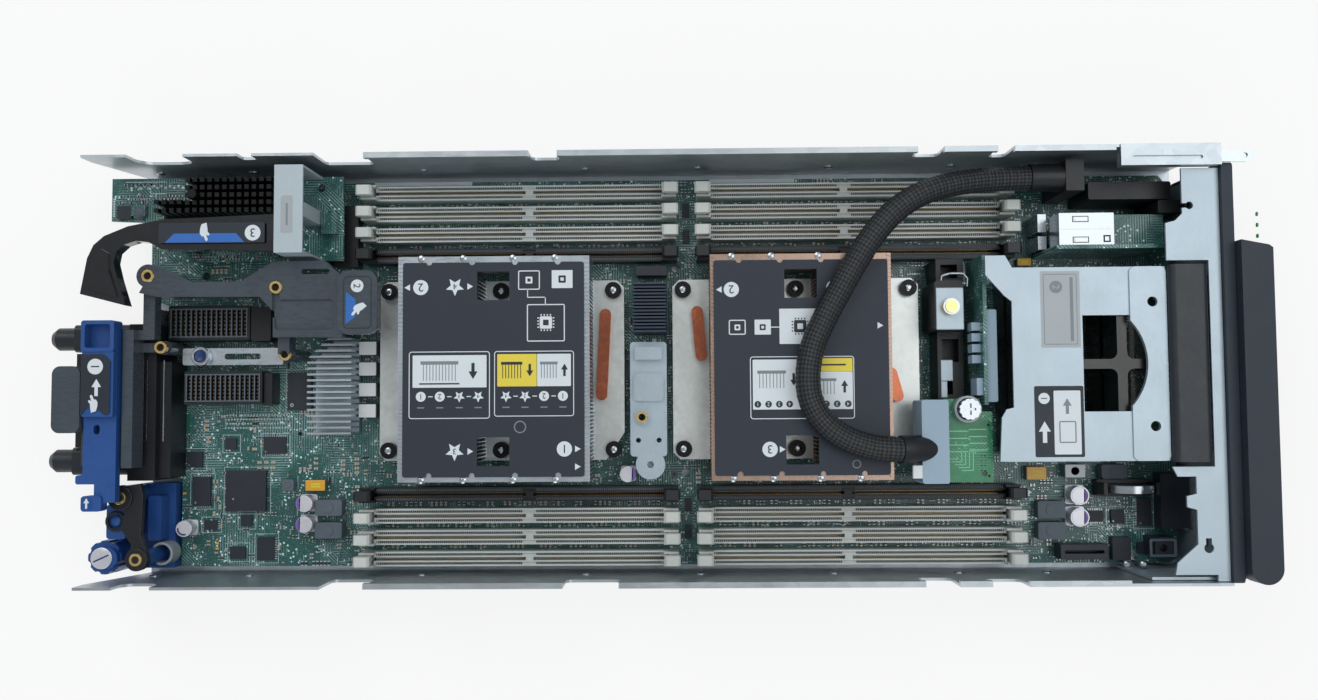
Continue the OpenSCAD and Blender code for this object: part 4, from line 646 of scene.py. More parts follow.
def reserve(x0, x1, y0, y1):
    """Keep a place free of scattered parts."""
    for g in (free, bare):
        g[max(0, int((x0 - GX) / CELL)):int((x1 - GX) / CELL) + 1,
          max(0, int((y0 - GY) / CELL)):int((y1 - GY) / CELL) + 1] = False


for spot in ((-209.4, -201.8, -28, -17.2), (-120.4, -75, 83.6, 87), (31, 71, 83.6, 87), (-216, -204, -85, -73),
             (130, 136, -13, 4)):
    reserve(*spot)
tin, tan, black, white, chipbody, silk, pad = (Shape() for _ in range(7))


def two_end(x, y, w, h, z, body, turn=0, end=0.24):
    """A chip part: body between two tinned ends, standing on the board."""
    if turn:
        w, h = h, w
    e = (w if w > h else h) * end
    if w > h:
        body.box(x - w / 2 + e, x + w / 2 - e, y - h / 2 + 0.03, y + h / 2 - 0.03, 7.96, 8 + z)
        for s in (-1, 1):
            a, b = sorted((x + s * w / 2, x + s * (w / 2 - e)))
            tin.box(a, b, y - h / 2, y + h / 2, 7.95, 8.03 + z)
    else:
        body.box(x - w / 2 + 0.03, x + w / 2 - 0.03, y - h / 2 + e, y + h / 2 - e, 7.96, 8 + z)
        for s in (-1, 1):
            a, b = sorted((y + s * h / 2, y + s * (h / 2 - e)))
            tin.box(x - w / 2, x + w / 2, a, b, 7.95, 8.03 + z)


def legs(x0, x1, y0, y1, sides, pitch=1.0, reach=0.9, wide=0.4, z=8.0):
    """Gull-wing legs along the named sides of a chip."""
    for side in sides:
        a, b = (x0, x1) if side in "ns" else (y0, y1)
        n = max(2, int((b - a - 0.6) / pitch) + 1)
        for k in range(n):
            t = (a + b) / 2 + (k - (n - 1) / 2) * pitch
            e, s = {"n": (y1, 1), "s": (y0, -1), "e": (x1, 1), "w": (x0, -1)}[side]
            lo, hi = sorted((e - s * 0.1, e + s * reach))
            k0, k1 = sorted((e - s * 0.1, e + s * reach * 0.45))
            if side in "ns":
                tin.box(t - wide / 2, t + wide / 2, lo, hi, z - 0.04, z + 0.16)
                tin.box(t - wide / 2, t + wide / 2, k0, k1, z, z + 0.7)
            else:
                tin.box(lo, hi, t - wide / 2, t + wide / 2, z - 0.04, z + 0.16)
                tin.box(k0, k1, t - wide / 2, t + wide / 2, z, z + 0.7)


def frame_print(x0, x1, y0, y1, t=0.16, z=8.0):
    """A printed outline on the board."""
    silk.box(x0 - t, x1 + t, y0 - t, y0, z - 0.03, z + 0.025)
    silk.box(x0 - t, x1 + t, y1, y1 + t, z - 0.03, z + 0.025)
    silk.box(x0 - t, x0, y0, y1, z - 0.03, z + 0.025)
    silk.box(x1, x1 + t, y0, y1, z - 0.03, z + 0.025)


# legs, pin marks and outlines of the chips that the solids give
for x0, x1, y0, y1, sides in (
        (-186, -168, -61.8, -43.8, ""), (-201.2, -193.2, -59.5, -46.5, "ns"), (-204.1, -197.1, -42.3, -35.3, ""),
        (-186.9, -181.9, -34.3, -29.3, ""), (-169.4, -159.4, -36.4, -28.8, "ns"), (-184.1, -177.1, -83, -77.6, ""),
        (-171.8, -164.2, -83.6, -73.6, "ew"), (-158.5, -147.9, -16.8, -0.2, ""), (-179.5, -174.5, -68.5, -63.5, ""),
        (-196, -190, -70, -66, "ew"), (207.7, 213.5, -69.1, -63.3, ""), (219.4, 225.4, -70.2, -58.2, "ew"),
        (197.5, 204.5, -68.5, -63.5, "ns"), (168, 174, 27, 33, "")):
    legs(x0, x1, y0, y1, sides)
    claim((x0 + x1) / 2, (y0 + y1) / 2, 0.1, 0.1)
    frame_print(x0 - 1.4, x1 + 1.4, y0 - 1.4, y1 + 1.4)
dots = Shape()
for x, y, z, r in ((-182.6, -56.4, 10.2, 0.45), (-168.2, -78.2, 9.6, 0.4), (-156.6, -14.6, 10.2, 0.8),
                   (-199.8, -58, 9.6, 0.4), (-203, -41.2, 9.2, 0.35), (-168.4, -35.4, 9.8, 0.35),
                   (220.4, -69.2, 9.6, 0.4), (208.6, -68.2, 9.4, 0.35)):
    dots.ring(circle(r, 16), circle(r * 0.55, 16), z - 0.02, z + 0.03, (x, y))
dots.piece("pin_one_marks", TIN)

# known rows: small capacitors beside the memory sockets, printed strips at the wall
for row in (74.62, 65.26, 55.9, -59.1, -68.46, -77.82):
    for cx, key in BANKS:
        x = cx - 60
        while x < cx + 60:
            n = rng.choice((2, 2, 3, 4))
            for k in range(n):
                if claim(x + k * 2.1, row, 1.0, 1.7, 0.05):
                    y = row + rng.uniform(-0.15, 0.15)
                    two_end(x + k * 2.1, y, 1.7, 0.95, 0.5, rng.choice((tan, tan, black)), 1)
            x += n * 2.1 + rng.uniform(1.5, 9)
for x0, x1 in ((-120.4, -76), (31.6, 70)):
    silk.box(x0, x1, 84.5, 86.2, 7.97, 8.03)

# blocks of parts where the photograph shows them
for x0, y0, nx, ny, px, py, w, h, body in (
        (-171.5, -42.6, 3, 2, 3.1, 2.4, 1.9, 1.2, tan), (-151.8, -85.3, 8, 1, 1.7, 2, 1.1, 2.2, black),
        (-207, -30.4, 2, 3, 2.2, 2.3, 1.0, 1.7, tan), (-146, -43, 2, 3, 1.9, 2.2, 1.8, 1.0, tan),
        (176, -57.6, 3, 1, 1.7, 2, 0.9, 1.6, tan), (214.6, -64, 2, 4, 1.9, 1.9, 1.6, 0.9, black)):
    for i in range(nx):
        for j in range(ny):
            x, y = x0 + i * px, y0 + j * py
            if claim(x, y, w, h, 0.05):
                two_end(x, y, w, h, 0.55, body)
leds = Shape()
for x, y in ((-205.3, -53.9), (-190.2, -76.2), (-190.2, -78.6), (214.8, -52.7)):
    if claim(x, y, 1.4, 0.9, 0.05):
        leds.box(x - 0.7, x + 0.7, y - 0.45, y + 0.45, 7.97, 8.5)

# rows of tinned through-holes of the connectors above them
for x0, y0, nx, ny, px, py in ((-187.2, -24.7, 22, 4, 1.35, 1.9), (-205, -27.6, 5, 5, 2.0, 1.9)):
    for i in range(nx):
        for j in range(ny):
            x, y = x0 + i * px + (j % 2) * px / 2, y0 + j * py
            if claim(x, y, 0.7, 0.7, 0, bare):
                pad.lathe(x, y, [(0.44, 7.97), (0.44, 8.04), (0.2, 8.05)], 10)


def around(x, y, a, b, inset):
    """The limits of an a by b rectangle, drawn in by inset on each side."""
    return x - a / 2 + inset, x + a / 2 - inset, y - b / 2 + inset, y + b / 2 - inset


def small_part(kind, x, y, w, h, z, turn):
    """One of the scattered parts, w by h and z high."""
    a, b = (h, w) if turn else (w, h)
    sides = "ew" if turn else "ns"
    if kind in ("tan", "black", "mix"):
        two_end(x, y, w, h, z, {"tan": tan, "black": black, "mix": rng.choice((tan, black, black))}[kind], turn)
    elif kind == "sot":
        black.box(*around(x, y, a, b, 0.2), 7.97, 8 + z)
        legs(*around(x, y, a, b, 0.2), sides, 0.95, 0.5, 0.35)
    elif kind == "so":
        chipbody.box(*around(x, y, a, b, 0.5), 7.97, 8 + z)
        legs(*around(x, y, a, b, 0.5), sides, 0.9, 0.8, 0.35)
        frame_print(*around(x, y, a, b, -0.5))
    elif kind == "crystal":
        white.box(*around(x, y, a, b, 0), 7.97, 8.2 + z)
        tin.box(*around(x, y, a, b, 0.3), 8.1, 8.4 + z)
    elif kind == "coil":
        white.box(x - 1.5, x + 1.5, y - 1.5, y + 1.5, 7.97, 8 + z)
        black.lathe(x, y, [(0.7, 8 + z - 0.1), (0.7, 8.03 + z)], 14)
        silk.box(x - 2.1, x - 1.7, y - 1.4, y + 1.4, 7.97, 8.03)


def anywhere():
    return rng.uniform(GX, GX + NX * CELL), rng.uniform(GY, GY + NY * CELL)


# scattered parts, the large ones first, in short rows on a 0.3 mm raster
for w, h, z, count, kind in (
        (5.0, 4.0, 1.5, 5, "so"), (3.2, 2.5, 0.8, 8, "crystal"), (3.0, 3.0, 1.3, 14, "coil"),
        (2.9, 1.5, 1.0, 46, "sot"), (2.0, 1.25, 0.8, 150, "tan"), (1.6, 0.8, 0.45, 520, "black"),
        (1.6, 0.8, 0.55, 380, "tan"), (1.0, 0.5, 0.4, 2400, "mix")):
    got = tries = 0
    while got < count and tries < count * 60:
        tries += 1
        x, y = (round(v / 0.3) * 0.3 for v in anywhere())
        turn, run = rng.random() < 0.5, rng.choice((1, 1, 2, 3, 4)) if w < 2.1 else 1
        a, b = (h, w) if turn else (w, h)
        step = min(a, b) + 0.75
        for k in range(run):
            xx, yy = (x + k * step, y) if turn else (x, y + k * step)
            if not claim(xx, yy, a, b, 0.12):
                break
            got += 1
            small_part(kind, xx, yy, w, h, z, turn)

# printed marks, test points and vias in what is left over
LINE = 0.16
for _ in range(5200):
    x, y = anywhere()
    kind, turn = rng.random(), rng.random() < 0.5
    if kind < 0.45:
        length = rng.uniform(1.2, 3.2)
        a, b = (LINE, length) if turn else (length, LINE)
        if claim(x, y, a, b, 0.0):
            left, low = x - a / 2, y - b / 2
            silk.box(left, x + a / 2, low, y + b / 2, 7.97, 8.025)
            if kind < 0.2:
                silk.box(left, left + (1.2 if turn else LINE), low, low + (LINE if turn else 1.2), 7.97, 8.025)
    elif claim(x, y, 0.8, 0.8, 0.0):
        for k in range(rng.choice((1, 2, 3))):
            pad.lathe(x + (k * 0.9 if turn else 0), y + (0 if turn else k * 0.9),
                      [(0.33, 7.98), (0.33, 8.03), (0.12, 8.035)], 8)
tin.piece("part_ends", TIN)
tan.piece("ceramic_capacitors", TAN)
black.piece("chip_resistors", DARKPART)
white.piece("coils_and_crystals", FERRITE)
chipbody.piece("small_circuits", CHIP, bevel=0.12)
silk.piece("printed_marks", WHITE)
pad.piece("test_points", TIN)
leds.piece("board_lights", AMBER)

# tops of the electrolytic capacitors: white face with a purple or blue part
tops, crescents, stripe = Shape(), Shape(), Shape()
for x, y, kind, side in ((192, -56.4, "purple", 0), (191.8, -65.9, "purple", 0), (-5.6, -46, "purple", 0),
                         (-148.8, -58.3, "purple", 180), (-148.8, -67.4, "purple", 180),
                         (-202.2, -69, "blue", 235)):
    tops.lathe(x, y, [(3.55, 15.9), (3.55, 16.04), (3.4, 16.14), (0.4, 16.14)], 36)
    a = [math.radians(side + t) for t in range(-62, 63, 6)]
    if kind == "purple":
        pts = [(3.5 * math.cos(t), 3.5 * math.sin(t)) for t in a]
        mid = math.radians(side)
        q = [(1.75 * math.cos(mid) + 3.1 * math.cos(math.radians(side + t)) * 0.14,
              1.75 * math.sin(mid) + 3.1 * math.sin(math.radians(side + t))) for t in range(84, -85, -12)]
        crescents.prism(pts + q, 16.05, 16.2, (x, y))
    else:
        pts = [(2.9 * math.cos(t), 2.9 * math.sin(t)) for t in a]
        pts += [(2.2 * math.cos(t), 2.2 * math.sin(t)) for t in a[::-1]]
        stripe.prism(pts, 16.05, 16.2, (x, y))
tops.piece("capacitor_tops", CAN, smooth=30)
crescents.piece("capacitor_polarity_marks", PURPLE)
stripe.piece("capacitor_stripe", DARKBLUE)

# white tops of the coils beside the rear heatsink, terminals on the large ones
s = Shape()
for y0 in (7.3, -1.9, -11.1, -20.5):
    s.box(-125, -117.4, y0 + 0.2, y0 + 6, 15.2, 15.45)
s.box(186.5, 195.1, -48.6, -43, 14, 14.3)
s.piece("coil_labels", PAPER, bevel=0.1)
s, marks = Shape(), Shape()
for x0, x1, y0, y1, z in ((-149.5, -140.5, -52.9, -47.9, 12.7), (169.9, 178.9, -49.8, -43.8, 12.7),
                          (168.4, 174.8, 45.2, 48.8, 11.3)):
    s.box(x0 + 0.15, x1 - 0.15, y0 + 0.15, y1 - 0.15, z - 2.2, z + 0.1)
    w, h = x1 - x0, y1 - y0
    for k in (0.34, 0.56):
        marks.box(x0 + w * 0.3, x1 - w * 0.25, y0 + h * k, y0 + h * (k + 0.12), z + 0.05, z + 0.16)
s.piece("tantalum_cases", AMBER, bevel=0.25)
marks.piece("tantalum_marks", YELLOW)

# ---------------------------------------------------------------- printed labels

INKBLUE = plain("blue_print", (44, 104, 184), 0.45, 0, scale=1500, amount=0.04, bump=0.08)
GREYINK = plain("grey_print", (124, 134, 142), 0.5, 0, scale=1500, amount=0.04, bump=0.08)
DARKINK = plain("dark_print", (32, 40, 52), 0.5, 0, scale=1500, amount=0.04, bump=0.08)
SILVERLABEL = plain("silver_foil", (164, 172, 176), 0.5, 0.3, scale=1500, amount=0.04, bump=0.1)
INKS = {"w": ("white", WHITE), "d": ("dark", DARKINK), "b": ("blue", INKBLUE), "y": ("yellow", YELLOW),
        "g": ("grey", GREYINK), "s": ("foil", SILVERLABEL)}


class Print:
    """Flat graphics on one face: each colour becomes one thin piece."""

    def __init__(self, name, z, body="tray", turn=180):
        self.name, self.z, self.body, self.turn, self.ink = name, z, body, turn, {}

    def layer(self, key):
        return self.ink.setdefault(key, Shape())

    def span(self, up):
        """Bottom and top of a layer of print, up steps over the lowest."""
        return self.z - 0.03, self.z + 0.05 * (up + 1)

    def poly(self, key, pts, at=(0, 0), size=1.0, turn=0, up=0):
        self.layer(key).prism(pts, *self.span(up), at, size, turn)

    def bar(self, key, x0, x1, y0, y1, up=0, r=0.0):
        w, h = x1 - x0, y1 - y0
        pts = rounded(w, h, r) if r else [(-w / 2, -h / 2), (w / 2, -h / 2), (w / 2, h / 2), (-w / 2, h / 2)]
        self.poly(key, pts, ((x0 + x1) / 2, (y0 + y1) / 2), up=up)

    def frame(self, key, x0, x1, y0, y1, t=0.45, up=0, r=0.7):
        w, h = x1 - x0, y1 - y0
        self.layer(key).ring(rounded(w, h, r), rounded(w - 2 * t, h - 2 * t, max(0.1, r - t)), *self.span(up),
                             ((x0 + x1) / 2, (y0 + y1) / 2))

    def disc(self, key, x, y, r, up=0):
        self.poly(key, circle(r, 40), (x, y), up=up)

    def loop(self, key, x, y, r, t, up=0):
        self.layer(key).ring(circle(r, 32), circle(r - t, 32), *self.span(up), (x, y))

    def badge(self, text, x, y, r, star=False, keys="wd", up=0):
        """A number on a disc or a star."""
        if star:
            self.poly(keys[0], STAR, (x, y), r, self.turn, up)
        else:
            self.disc(keys[0], x, y, r, up)
        size = r * (0.62 if star else 1.12)
        self.layer(keys[1]).mark(text, x, y, self.z, self.z + 0.05 * (up + 2), size, self.turn)

    def chip(self, key, x, y, s, legs=0, up=0):
        """A square outline with a square hole and legs on all four sides."""
        self.layer(key).ring(rounded(s, s, s * 0.12), rounded(s * 0.46, s * 0.46, s * 0.05), *self.span(up), (x, y))
        for k in range(legs):
            t, out = (k - (legs - 1) / 2) * s / legs, s * 0.62
            for a, b, w, h in ((x + t, y + out, 0.1, 0.13), (x + t, y - out, 0.1, 0.13),
                               (x + out, y + t, 0.13, 0.1), (x - out, y + t, 0.13, 0.1)):
                self.bar(key, a - w * s / 2, a + w * s / 2, b - h * s / 2, b + h * s / 2, up)

    def sink_drawing(self, key, x, y, w, h, n=11, up=1):
        """A small generic picture of a finned heatsink seen from the side."""
        self.bar(key, x - w / 2, x + w / 2, y + h * 0.28, y + h * 0.42, up)
        for k in range(n):
            t = x - w * 0.42 + k * w * 0.84 / (n - 1)
            self.bar(key, t - 0.16, t + 0.16, y - h * 0.4, y + h * 0.3, up)

    def done(self):
        for key, s in self.ink.items():
            s.piece(f"{self.name}_{INKS[key][0]}", INKS[key][1], self.body)


# rear heatsink
p = Print("rear_label", 42.3)
p.badge("2", -91.5, 34.4, 3.2)
p.poly("w", WEDGE, (-96.9, 34.4), 1.7, 180)
p.badge("4", -77, 34.7, 4.0, True)
p.poly("w", WEDGE, (-70.9, 34.7), 1.7)
p.frame("w", -50.3, -41.1, 33.1, 41.3)
p.chip("w", -45.7, 37.2, 2.9)
p.bar("w", -36.1, -27.3, 33.7, 41.3, 0, 0.2)
p.chip("d", -31.7, 37.5, 3.1, up=1)
p.bar("w", -46.5, -46.1, 29.9, 33.3)
p.bar("w", -46.5, -38.6, 29.7, 30.1)
p.bar("w", -39, -38.6, 26.8, 30.1)
p.frame("w", -46.6, -30.6, 11.2, 27)
p.chip("w", -38.6, 19.2, 5.2, 4)
p.frame("w", -96.4, -62.2, -21, 7.3, 0.35, 0, 1.2)
p.bar("w", -94.8, -63.6, -7.9, 5.7, 0, 0.3)
p.sink_drawing("g", -83.5, -1, 16, 10)
p.poly("d", ARROW, (-69.3, -1), 3.4, 180, 1)
p.bar("d", -92, -75, -6.6, -6.0, 1)
p.frame("w", -60.4, -26.8, -20.2, 7.3, 0.35, 0, 1.2)
p.bar("y", -59.1, -42.5, -7.6, 6, 0, 0.3)
p.bar("w", -42.3, -28.1, -7.6, 6, 0, 0.3)
p.sink_drawing("d", -53, -0.8, 9, 8.4, 7)
p.poly("d", ARROW, (-45.4, -0.8), 2.6, 180, 1)
p.sink_drawing("g", -37.4, -0.8, 7.4, 8.4, 6)
p.poly("d", ARROW, (-30.8, -0.8), 2.6, 0, 1)
for x, text, star, more in ((-91.3, "1", 0, 1), (-83.3, "2", 0, 1), (-75.1, "3", 1, 1), (-67.1, "4", 1, 0),
                            (-55.4, "4", 1, 1), (-47.4, "3", 1, 1), (-39.4, "2", 0, 1), (-31.5, "1", 0, 0)):
    p.badge(text, x, -11.7, 2.5 if star else 2.1, bool(star))
    if more:
        p.bar("w", x + 3.1, x + 5, -11.9, -11.5)
    p.bar("g", x - 1.5, x + 1.5, -16.6, -16.1)
p.badge("3", -77, -34.7, 4.0, True)
p.poly("w", WEDGE, (-70.7, -34.7), 1.7)
p.badge("1", -30.9, -33.9, 3.2)
p.poly("w", WEDGE, (-25.6, -33.9), 1.7)
p.poly("w", WEDGE, (-25.6, -41.3), 1.7)
p.loop("g", -49.5, -24.6, 2.6, 0.5)
p.done()

# front heatsink
p = Print("front_label", 42.3)
p.badge("2", 39.5, 32.5, 3.2)
p.poly("w", WEDGE, (34.6, 32.5), 1.7, 180)
p.badge("4", 82.6, 32.9, 3.3)
p.frame("w", 38.3, 45.4, 13.4, 19.7)
p.chip("w", 41.9, 16.5, 2.4)
p.bar("w", 49.1, 55.9, 13.4, 19.7, 0, 0.2)
p.chip("d", 52.5, 16.5, 2.5, up=1)
p.bar("w", 55.9, 59.5, 16.3, 16.7)
p.bar("w", 59.5, 76.9, 9.4, 24.2, 0, 0.2)
p.chip("d", 68.2, 16.8, 5.2, 4, 1)
p.poly("w", WEDGE, (101.4, 16.9), 1.7)
p.frame("w", 47, 90.5, -22, 4.2, 0.35, 0, 1.2)
p.bar("w", 48.1, 68.3, -18, 2.9, 0, 0.3)
p.bar("w", 69.2, 89.8, -18, -2.3, 0, 0.3)
p.bar("y", 69.2, 89.8, -2.2, 3.3, 0, 0.3)
p.sink_drawing("g", 56, -5.5, 12, 9, 8)
p.poly("d", ARROW, (65.2, -5.5), 2.6, 180, 1)
p.sink_drawing("g", 77, -8.5, 12, 8, 8)
p.poly("d", ARROW, (86.4, -8.5), 2.6, 0, 1)
p.bar("d", 72, 87, 0.2, 0.9, 1)
for k, x in enumerate((50.1, 54.6, 59.1, 63.4, 74.6, 78.7, 83.2, 87.8)):
    p.badge(str(k % 4 + 1), x, -15.8, 1.4, keys="dw", up=1)
p.badge("3", 55, -34.6, 3.2)
p.poly("w", WEDGE, (59.9, -34.6), 1.7)
p.loop("g", 91, -40.9, 1.8, 0.4)
p.done()

# drive cage: a plain foil label and a dark notice with a light panel
p = Print("cage_label", 48, turn=-90)
p.bar("s", 166.8, 183, 6.7, 38.4, 0, 0.3)
p.frame("g", 168, 181.8, 8, 37.2, 0.25, 1, 0.5)
p.bar("g", 178.9, 180.2, 9.4, 35.8, 1)
p.badge("2", 173.2, 31.8, 2.6, keys="gs", up=1)
p.bar("d", 163.3, 183.5, -38.3, -9.1, 0, 0.7)
p.bar("w", 171.2, 182.2, -37.2, -11, 1, 0.5)
p.badge("1", 167.3, -14.2, 2.3, up=1)
p.poly("w", ARROW, (167.3, -28), 4.4, 0, 1)
p.frame("g", 173.2, 180.2, -32.5, -23.5, 0.5, 2, 0.6)
p.poly("g", ARROW, (176.7, -17.4), 3.2, 0, 2)
p.done()

# lifting handle of the network card
p = Print("handle_label", 51.2, "lan_card")
p.bar("d", -199.4, -154.9, 52.9, 61.4, 0, 0.6)
p.poly("b", [(-196.7, 53.1), (-193, 56.9), (-166.9, 56.9), (-163.4, 53.1)], up=1)
p.badge("3", -159.9, 57.0, 3.3, up=1)
p.poly("w", HAND, (-180.2, 57.2), 3.7, 200, 2)
p.done()

# release slide
p = Print("slide_label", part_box("release_slide")[1].z / MM, "release_slide", turn=-90)
p.poly("d", [(-234, 7), (-224.6, 7), (-221.6, 4), (-221.6, -17.8), (-223.4, -18.6), (-227.6, -15.4),
             (-231.4, -15.4), (-234, -18.6)])
p.badge("1", -227.9, 1.9, 3.3, up=1)
p.poly("w", ARROW, (-227.3, -6.9), 3.6, 0, 1)
p.poly("w", HAND, (-228.4, -13.4), 3.6, 20, 2)
p.poly("w", ARROW, (-230.6, -55.3), 2.2, 0, 0)
p.done()

# lift tab beside the rear heatsink
p = Print("lift_tab_label", 42, "mezz_frame", turn=-90)
p.frame("d", -124.6, -112.4, 17.2, 39.6, 0.5, 0, 2)
p.poly("b", [(-123.4, 19.2), (-119.2, 22.4), (-119.2, 29.6), (-123.4, 33)], up=1)
p.badge("2", -118.6, 35.4, 2.7, up=1)
p.poly("w", HAND, (-118.4, 25.6), 3.6, 140, 2)
p.done()

# white clamp across the network card
p = Print("clamp_label", 51, "lan_card", turn=-90)
p.bar("s", -148.4, -143.4, 56.8, 72.6, 0, 0.9)
p.bar("g", -146.2, -145.4, 60, 69.4, 1, 0.3)
p.done()

# comb edges and spring dimples of the two fin stacks
for name, mat in (("rear", ALU), ("front", BRONZE)):
    lo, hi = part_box(name + "_sink_fins")
    px0, px1 = (v.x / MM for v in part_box(name + "_sink_plate"))
    fx0, fx1, fy0, fy1, fz = lo.x / MM, hi.x / MM, lo.y / MM, hi.y / MM, hi.z / MM
    s = Shape()
    y = fy0 + 1.2
    while y < fy1 - 1.2:
        for a, b in ((fx0, px0 + 0.2), (px1 - 0.2, fx1)):
            if b - a > 0.6:
                s.box(a + 0.1, b, y, y + 0.42, fz - 3, fz + 0.55)
                s.box(a + 0.1, b, y + 0.42, y + 0.95, fz + 0.2, fz + 0.55)
        y += 1.75
    s.piece(name + "_fin_combs", mat)
    s = Shape()
    for t in (0.12, 0.34, 0.6, 0.82):
        x = fx0 + (fx1 - fx0) * t
        for y in (fy1 - 0.9, fy0 + 0.9):
            s.lathe(x, y, [(1.5, fz - 0.4), (1.45, fz + 0.25), (0.9, fz + 0.55), (0.3, fz + 0.6)], 20)
    s.piece(name + "_fin_dimples", STEEL, smooth=40)

# ---------------------------------------------------------------- rear end

# brass inserts in their rings
for name, body, spots in (("frame", "mezz_frame", ((XR + 50.2, 40.6, 40), (XR + 105.1, 35.3, 40))),
                          ("rail", "mezz_frame", ((XR + 53.5, 10.4, 34), (XR + 107.3, 7, 34))),
                          ("guide", "tray", ((XR + 36.5, -54, 33.6), (XR + 44, -80.3, 33.6)))):
    s, c = Shape(), Shape()
    for x, y, z in spots:
        s.lathe(x, y, [(2.75, z - 1.4), (2.75, z + 0.5), (2.55, z + 0.7), (1.65, z + 0.7), (1.5, z + 0.4),
                       (1.5, z - 1.2)])
        c.lathe(x, y, [(1.5, z - 1.5), (1.5, z - 0.5)], 20)
    s.piece("brass_inserts_" + name, BRASS, body, smooth=35)
    c.piece("insert_bores_" + name, ANODISED, body)

# black bridge over the blue guide, with a ring round the blue dome
s = Shape()
s.prism(circle(5.4, 28), 30, 33.6, (XR + 36.5, -54))
s.prism(circle(4.9, 28), 30, 33.6, (XR + 44, -80.3))
s.prism([(-226, -50.6), (-214, -48), (-212.6, -53), (-213.4, -70), (-210.6, -78), (-210.6, -83), (-219, -82),
         (-217.6, -74), (-222.4, -67), (-220.6, -60), (-226, -57)], 30, 32.8)
s.ring(circle(4.3, 28), circle(3.0, 28), 29.8, 31.4, (XR + 33.6, -64.1))
s.piece("guide_bridge", BLACK, bevel=0.35)
s = Shape()
s.lathe(XR + 33.6, -64.1, [(2.9, 27.2), (2.9, 29.2), (2.5, 30.4), (1.6, 31.2), (0.5, 31.5)], 28)
s.piece("guide_dome", BLUE, smooth=50)
s = Shape()
s.ring(circle(5.0, 36), circle(4.0, 36), 12, 20.4, (-209.9, -79.3))
s.piece("clear_ring", SILVERLABEL, smooth=40)

# silver face of the turning lock
lo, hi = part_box("turn_lock")
cx, cy, tz = (lo.x + hi.x) / 2 / MM, (lo.y + hi.y) / 2 / MM, hi.z / MM
s = Shape()
s.lathe(cx, cy, [(4.6, tz - 0.2), (4.6, tz + 0.25), (4.3, tz + 0.4), (0.6, tz + 0.4)], 36)
s.piece("lock_face", CAN, "turn_lock", smooth=30)
s = Shape()
s.box(cx - 3.6, cx + 3.6, cy - 0.3, cy + 0.3, tz + 0.3, tz + 0.5, 24)
s.piece("lock_line", DARKBLUE, "turn_lock")

# silver ring with a blue core on the lock bar, bright square beside it
lx, ly = -192.7, 7.0
s = Shape()
s.ring(circle(4.1, 32), circle(2.8, 32), 22.5, 24.2, (lx, ly))
s.piece("lock_bar_ring", STEEL, smooth=40, bevel=0.2)
s = Shape()
s.lathe(lx, ly, [(2.75, 22.4), (2.75, 23.6), (2.3, 23.9), (1.2, 23.3)], 28)
s.piece("lock_bar_core", DARKBLUE, smooth=40)
Shape().box(-215.4, -211.2, 21.8, 27.4, 27.1, 27.5).piece("bright_square", STEEL, bevel=0.3)

# ribs and contacts of the two card sockets, grey frames around them
ribs, dots = Shape(), Shape()
for x0, n, pitch, w, y0, y1 in ((-207, 15, 2.25, 1.4, 16.4, 27.4), (-199.8, 15, 2.16, 1.4, -12, -1.6)):
    for k in range(n + 1):
        x = x0 + k * pitch - (pitch - w) / 2
        ribs.box(x - 0.26, x + 0.26, y0 - 0.4, y1 + 0.4, 19.9, 20.3)
    a, b = x0 - 1.1, x0 + n * pitch
    for c, d in ((y0 - 0.9, y0 - 0.4), (y1 + 0.4, y1 + 0.9)):
        ribs.box(a, b, c, d, 19.9, 20.3)
    for k in range(n):
        for j in range(6):
            y = y0 + 1 + j * (y1 - y0 - 2) / 5
            for h in (0.38, 1.02):
                dots.box(x0 + k * pitch + h - 0.14, x0 + k * pitch + h + 0.14, y - 0.3, y + 0.3, 16.4, 18.6)
ribs.piece("card_socket_ribs", FERRITE)
dots.piece("card_socket_contacts", TAN)

# contact row and steel shell edges of the rear connector
s = Shape()
for k in range(34):
    y = 4.6 - k
    s.box(-217.7, -217.2, y - 0.25, y + 0.25, 27.5, 28.15)
s.piece("rear_connector_contacts", TIN)
s = Shape()
for x in (-213.9, -206.6):
    s.box(x - 0.15, x + 0.15, -30, 5.2, 27.6, 28.12)
s.piece("rear_connector_seams", STEEL)

# dark green field with a hole on the board
s = Shape()
s.box(-208.6, -203.4, -27.2, -18.2, 7.97, 8.05)
FIELD = plain("field_green", (22, 92, 72), 0.4, 0, 0.2, scale=900, amount=0.08, bump=0.06)
s.piece("board_field", FIELD)
s = Shape()
s.lathe(-206.6, -22.2, [(1.0, 7.98), (1.0, 8.08)], 20)
for x, y in ((-153.4, -27.5), (13.4, 51), (-135.5, 48.2), (151.5, 48.5)):
    s.lathe(x, y, [(0.9, 7.98), (0.9, 8.08)], 16)
s.piece("board_holes", ANODISED)

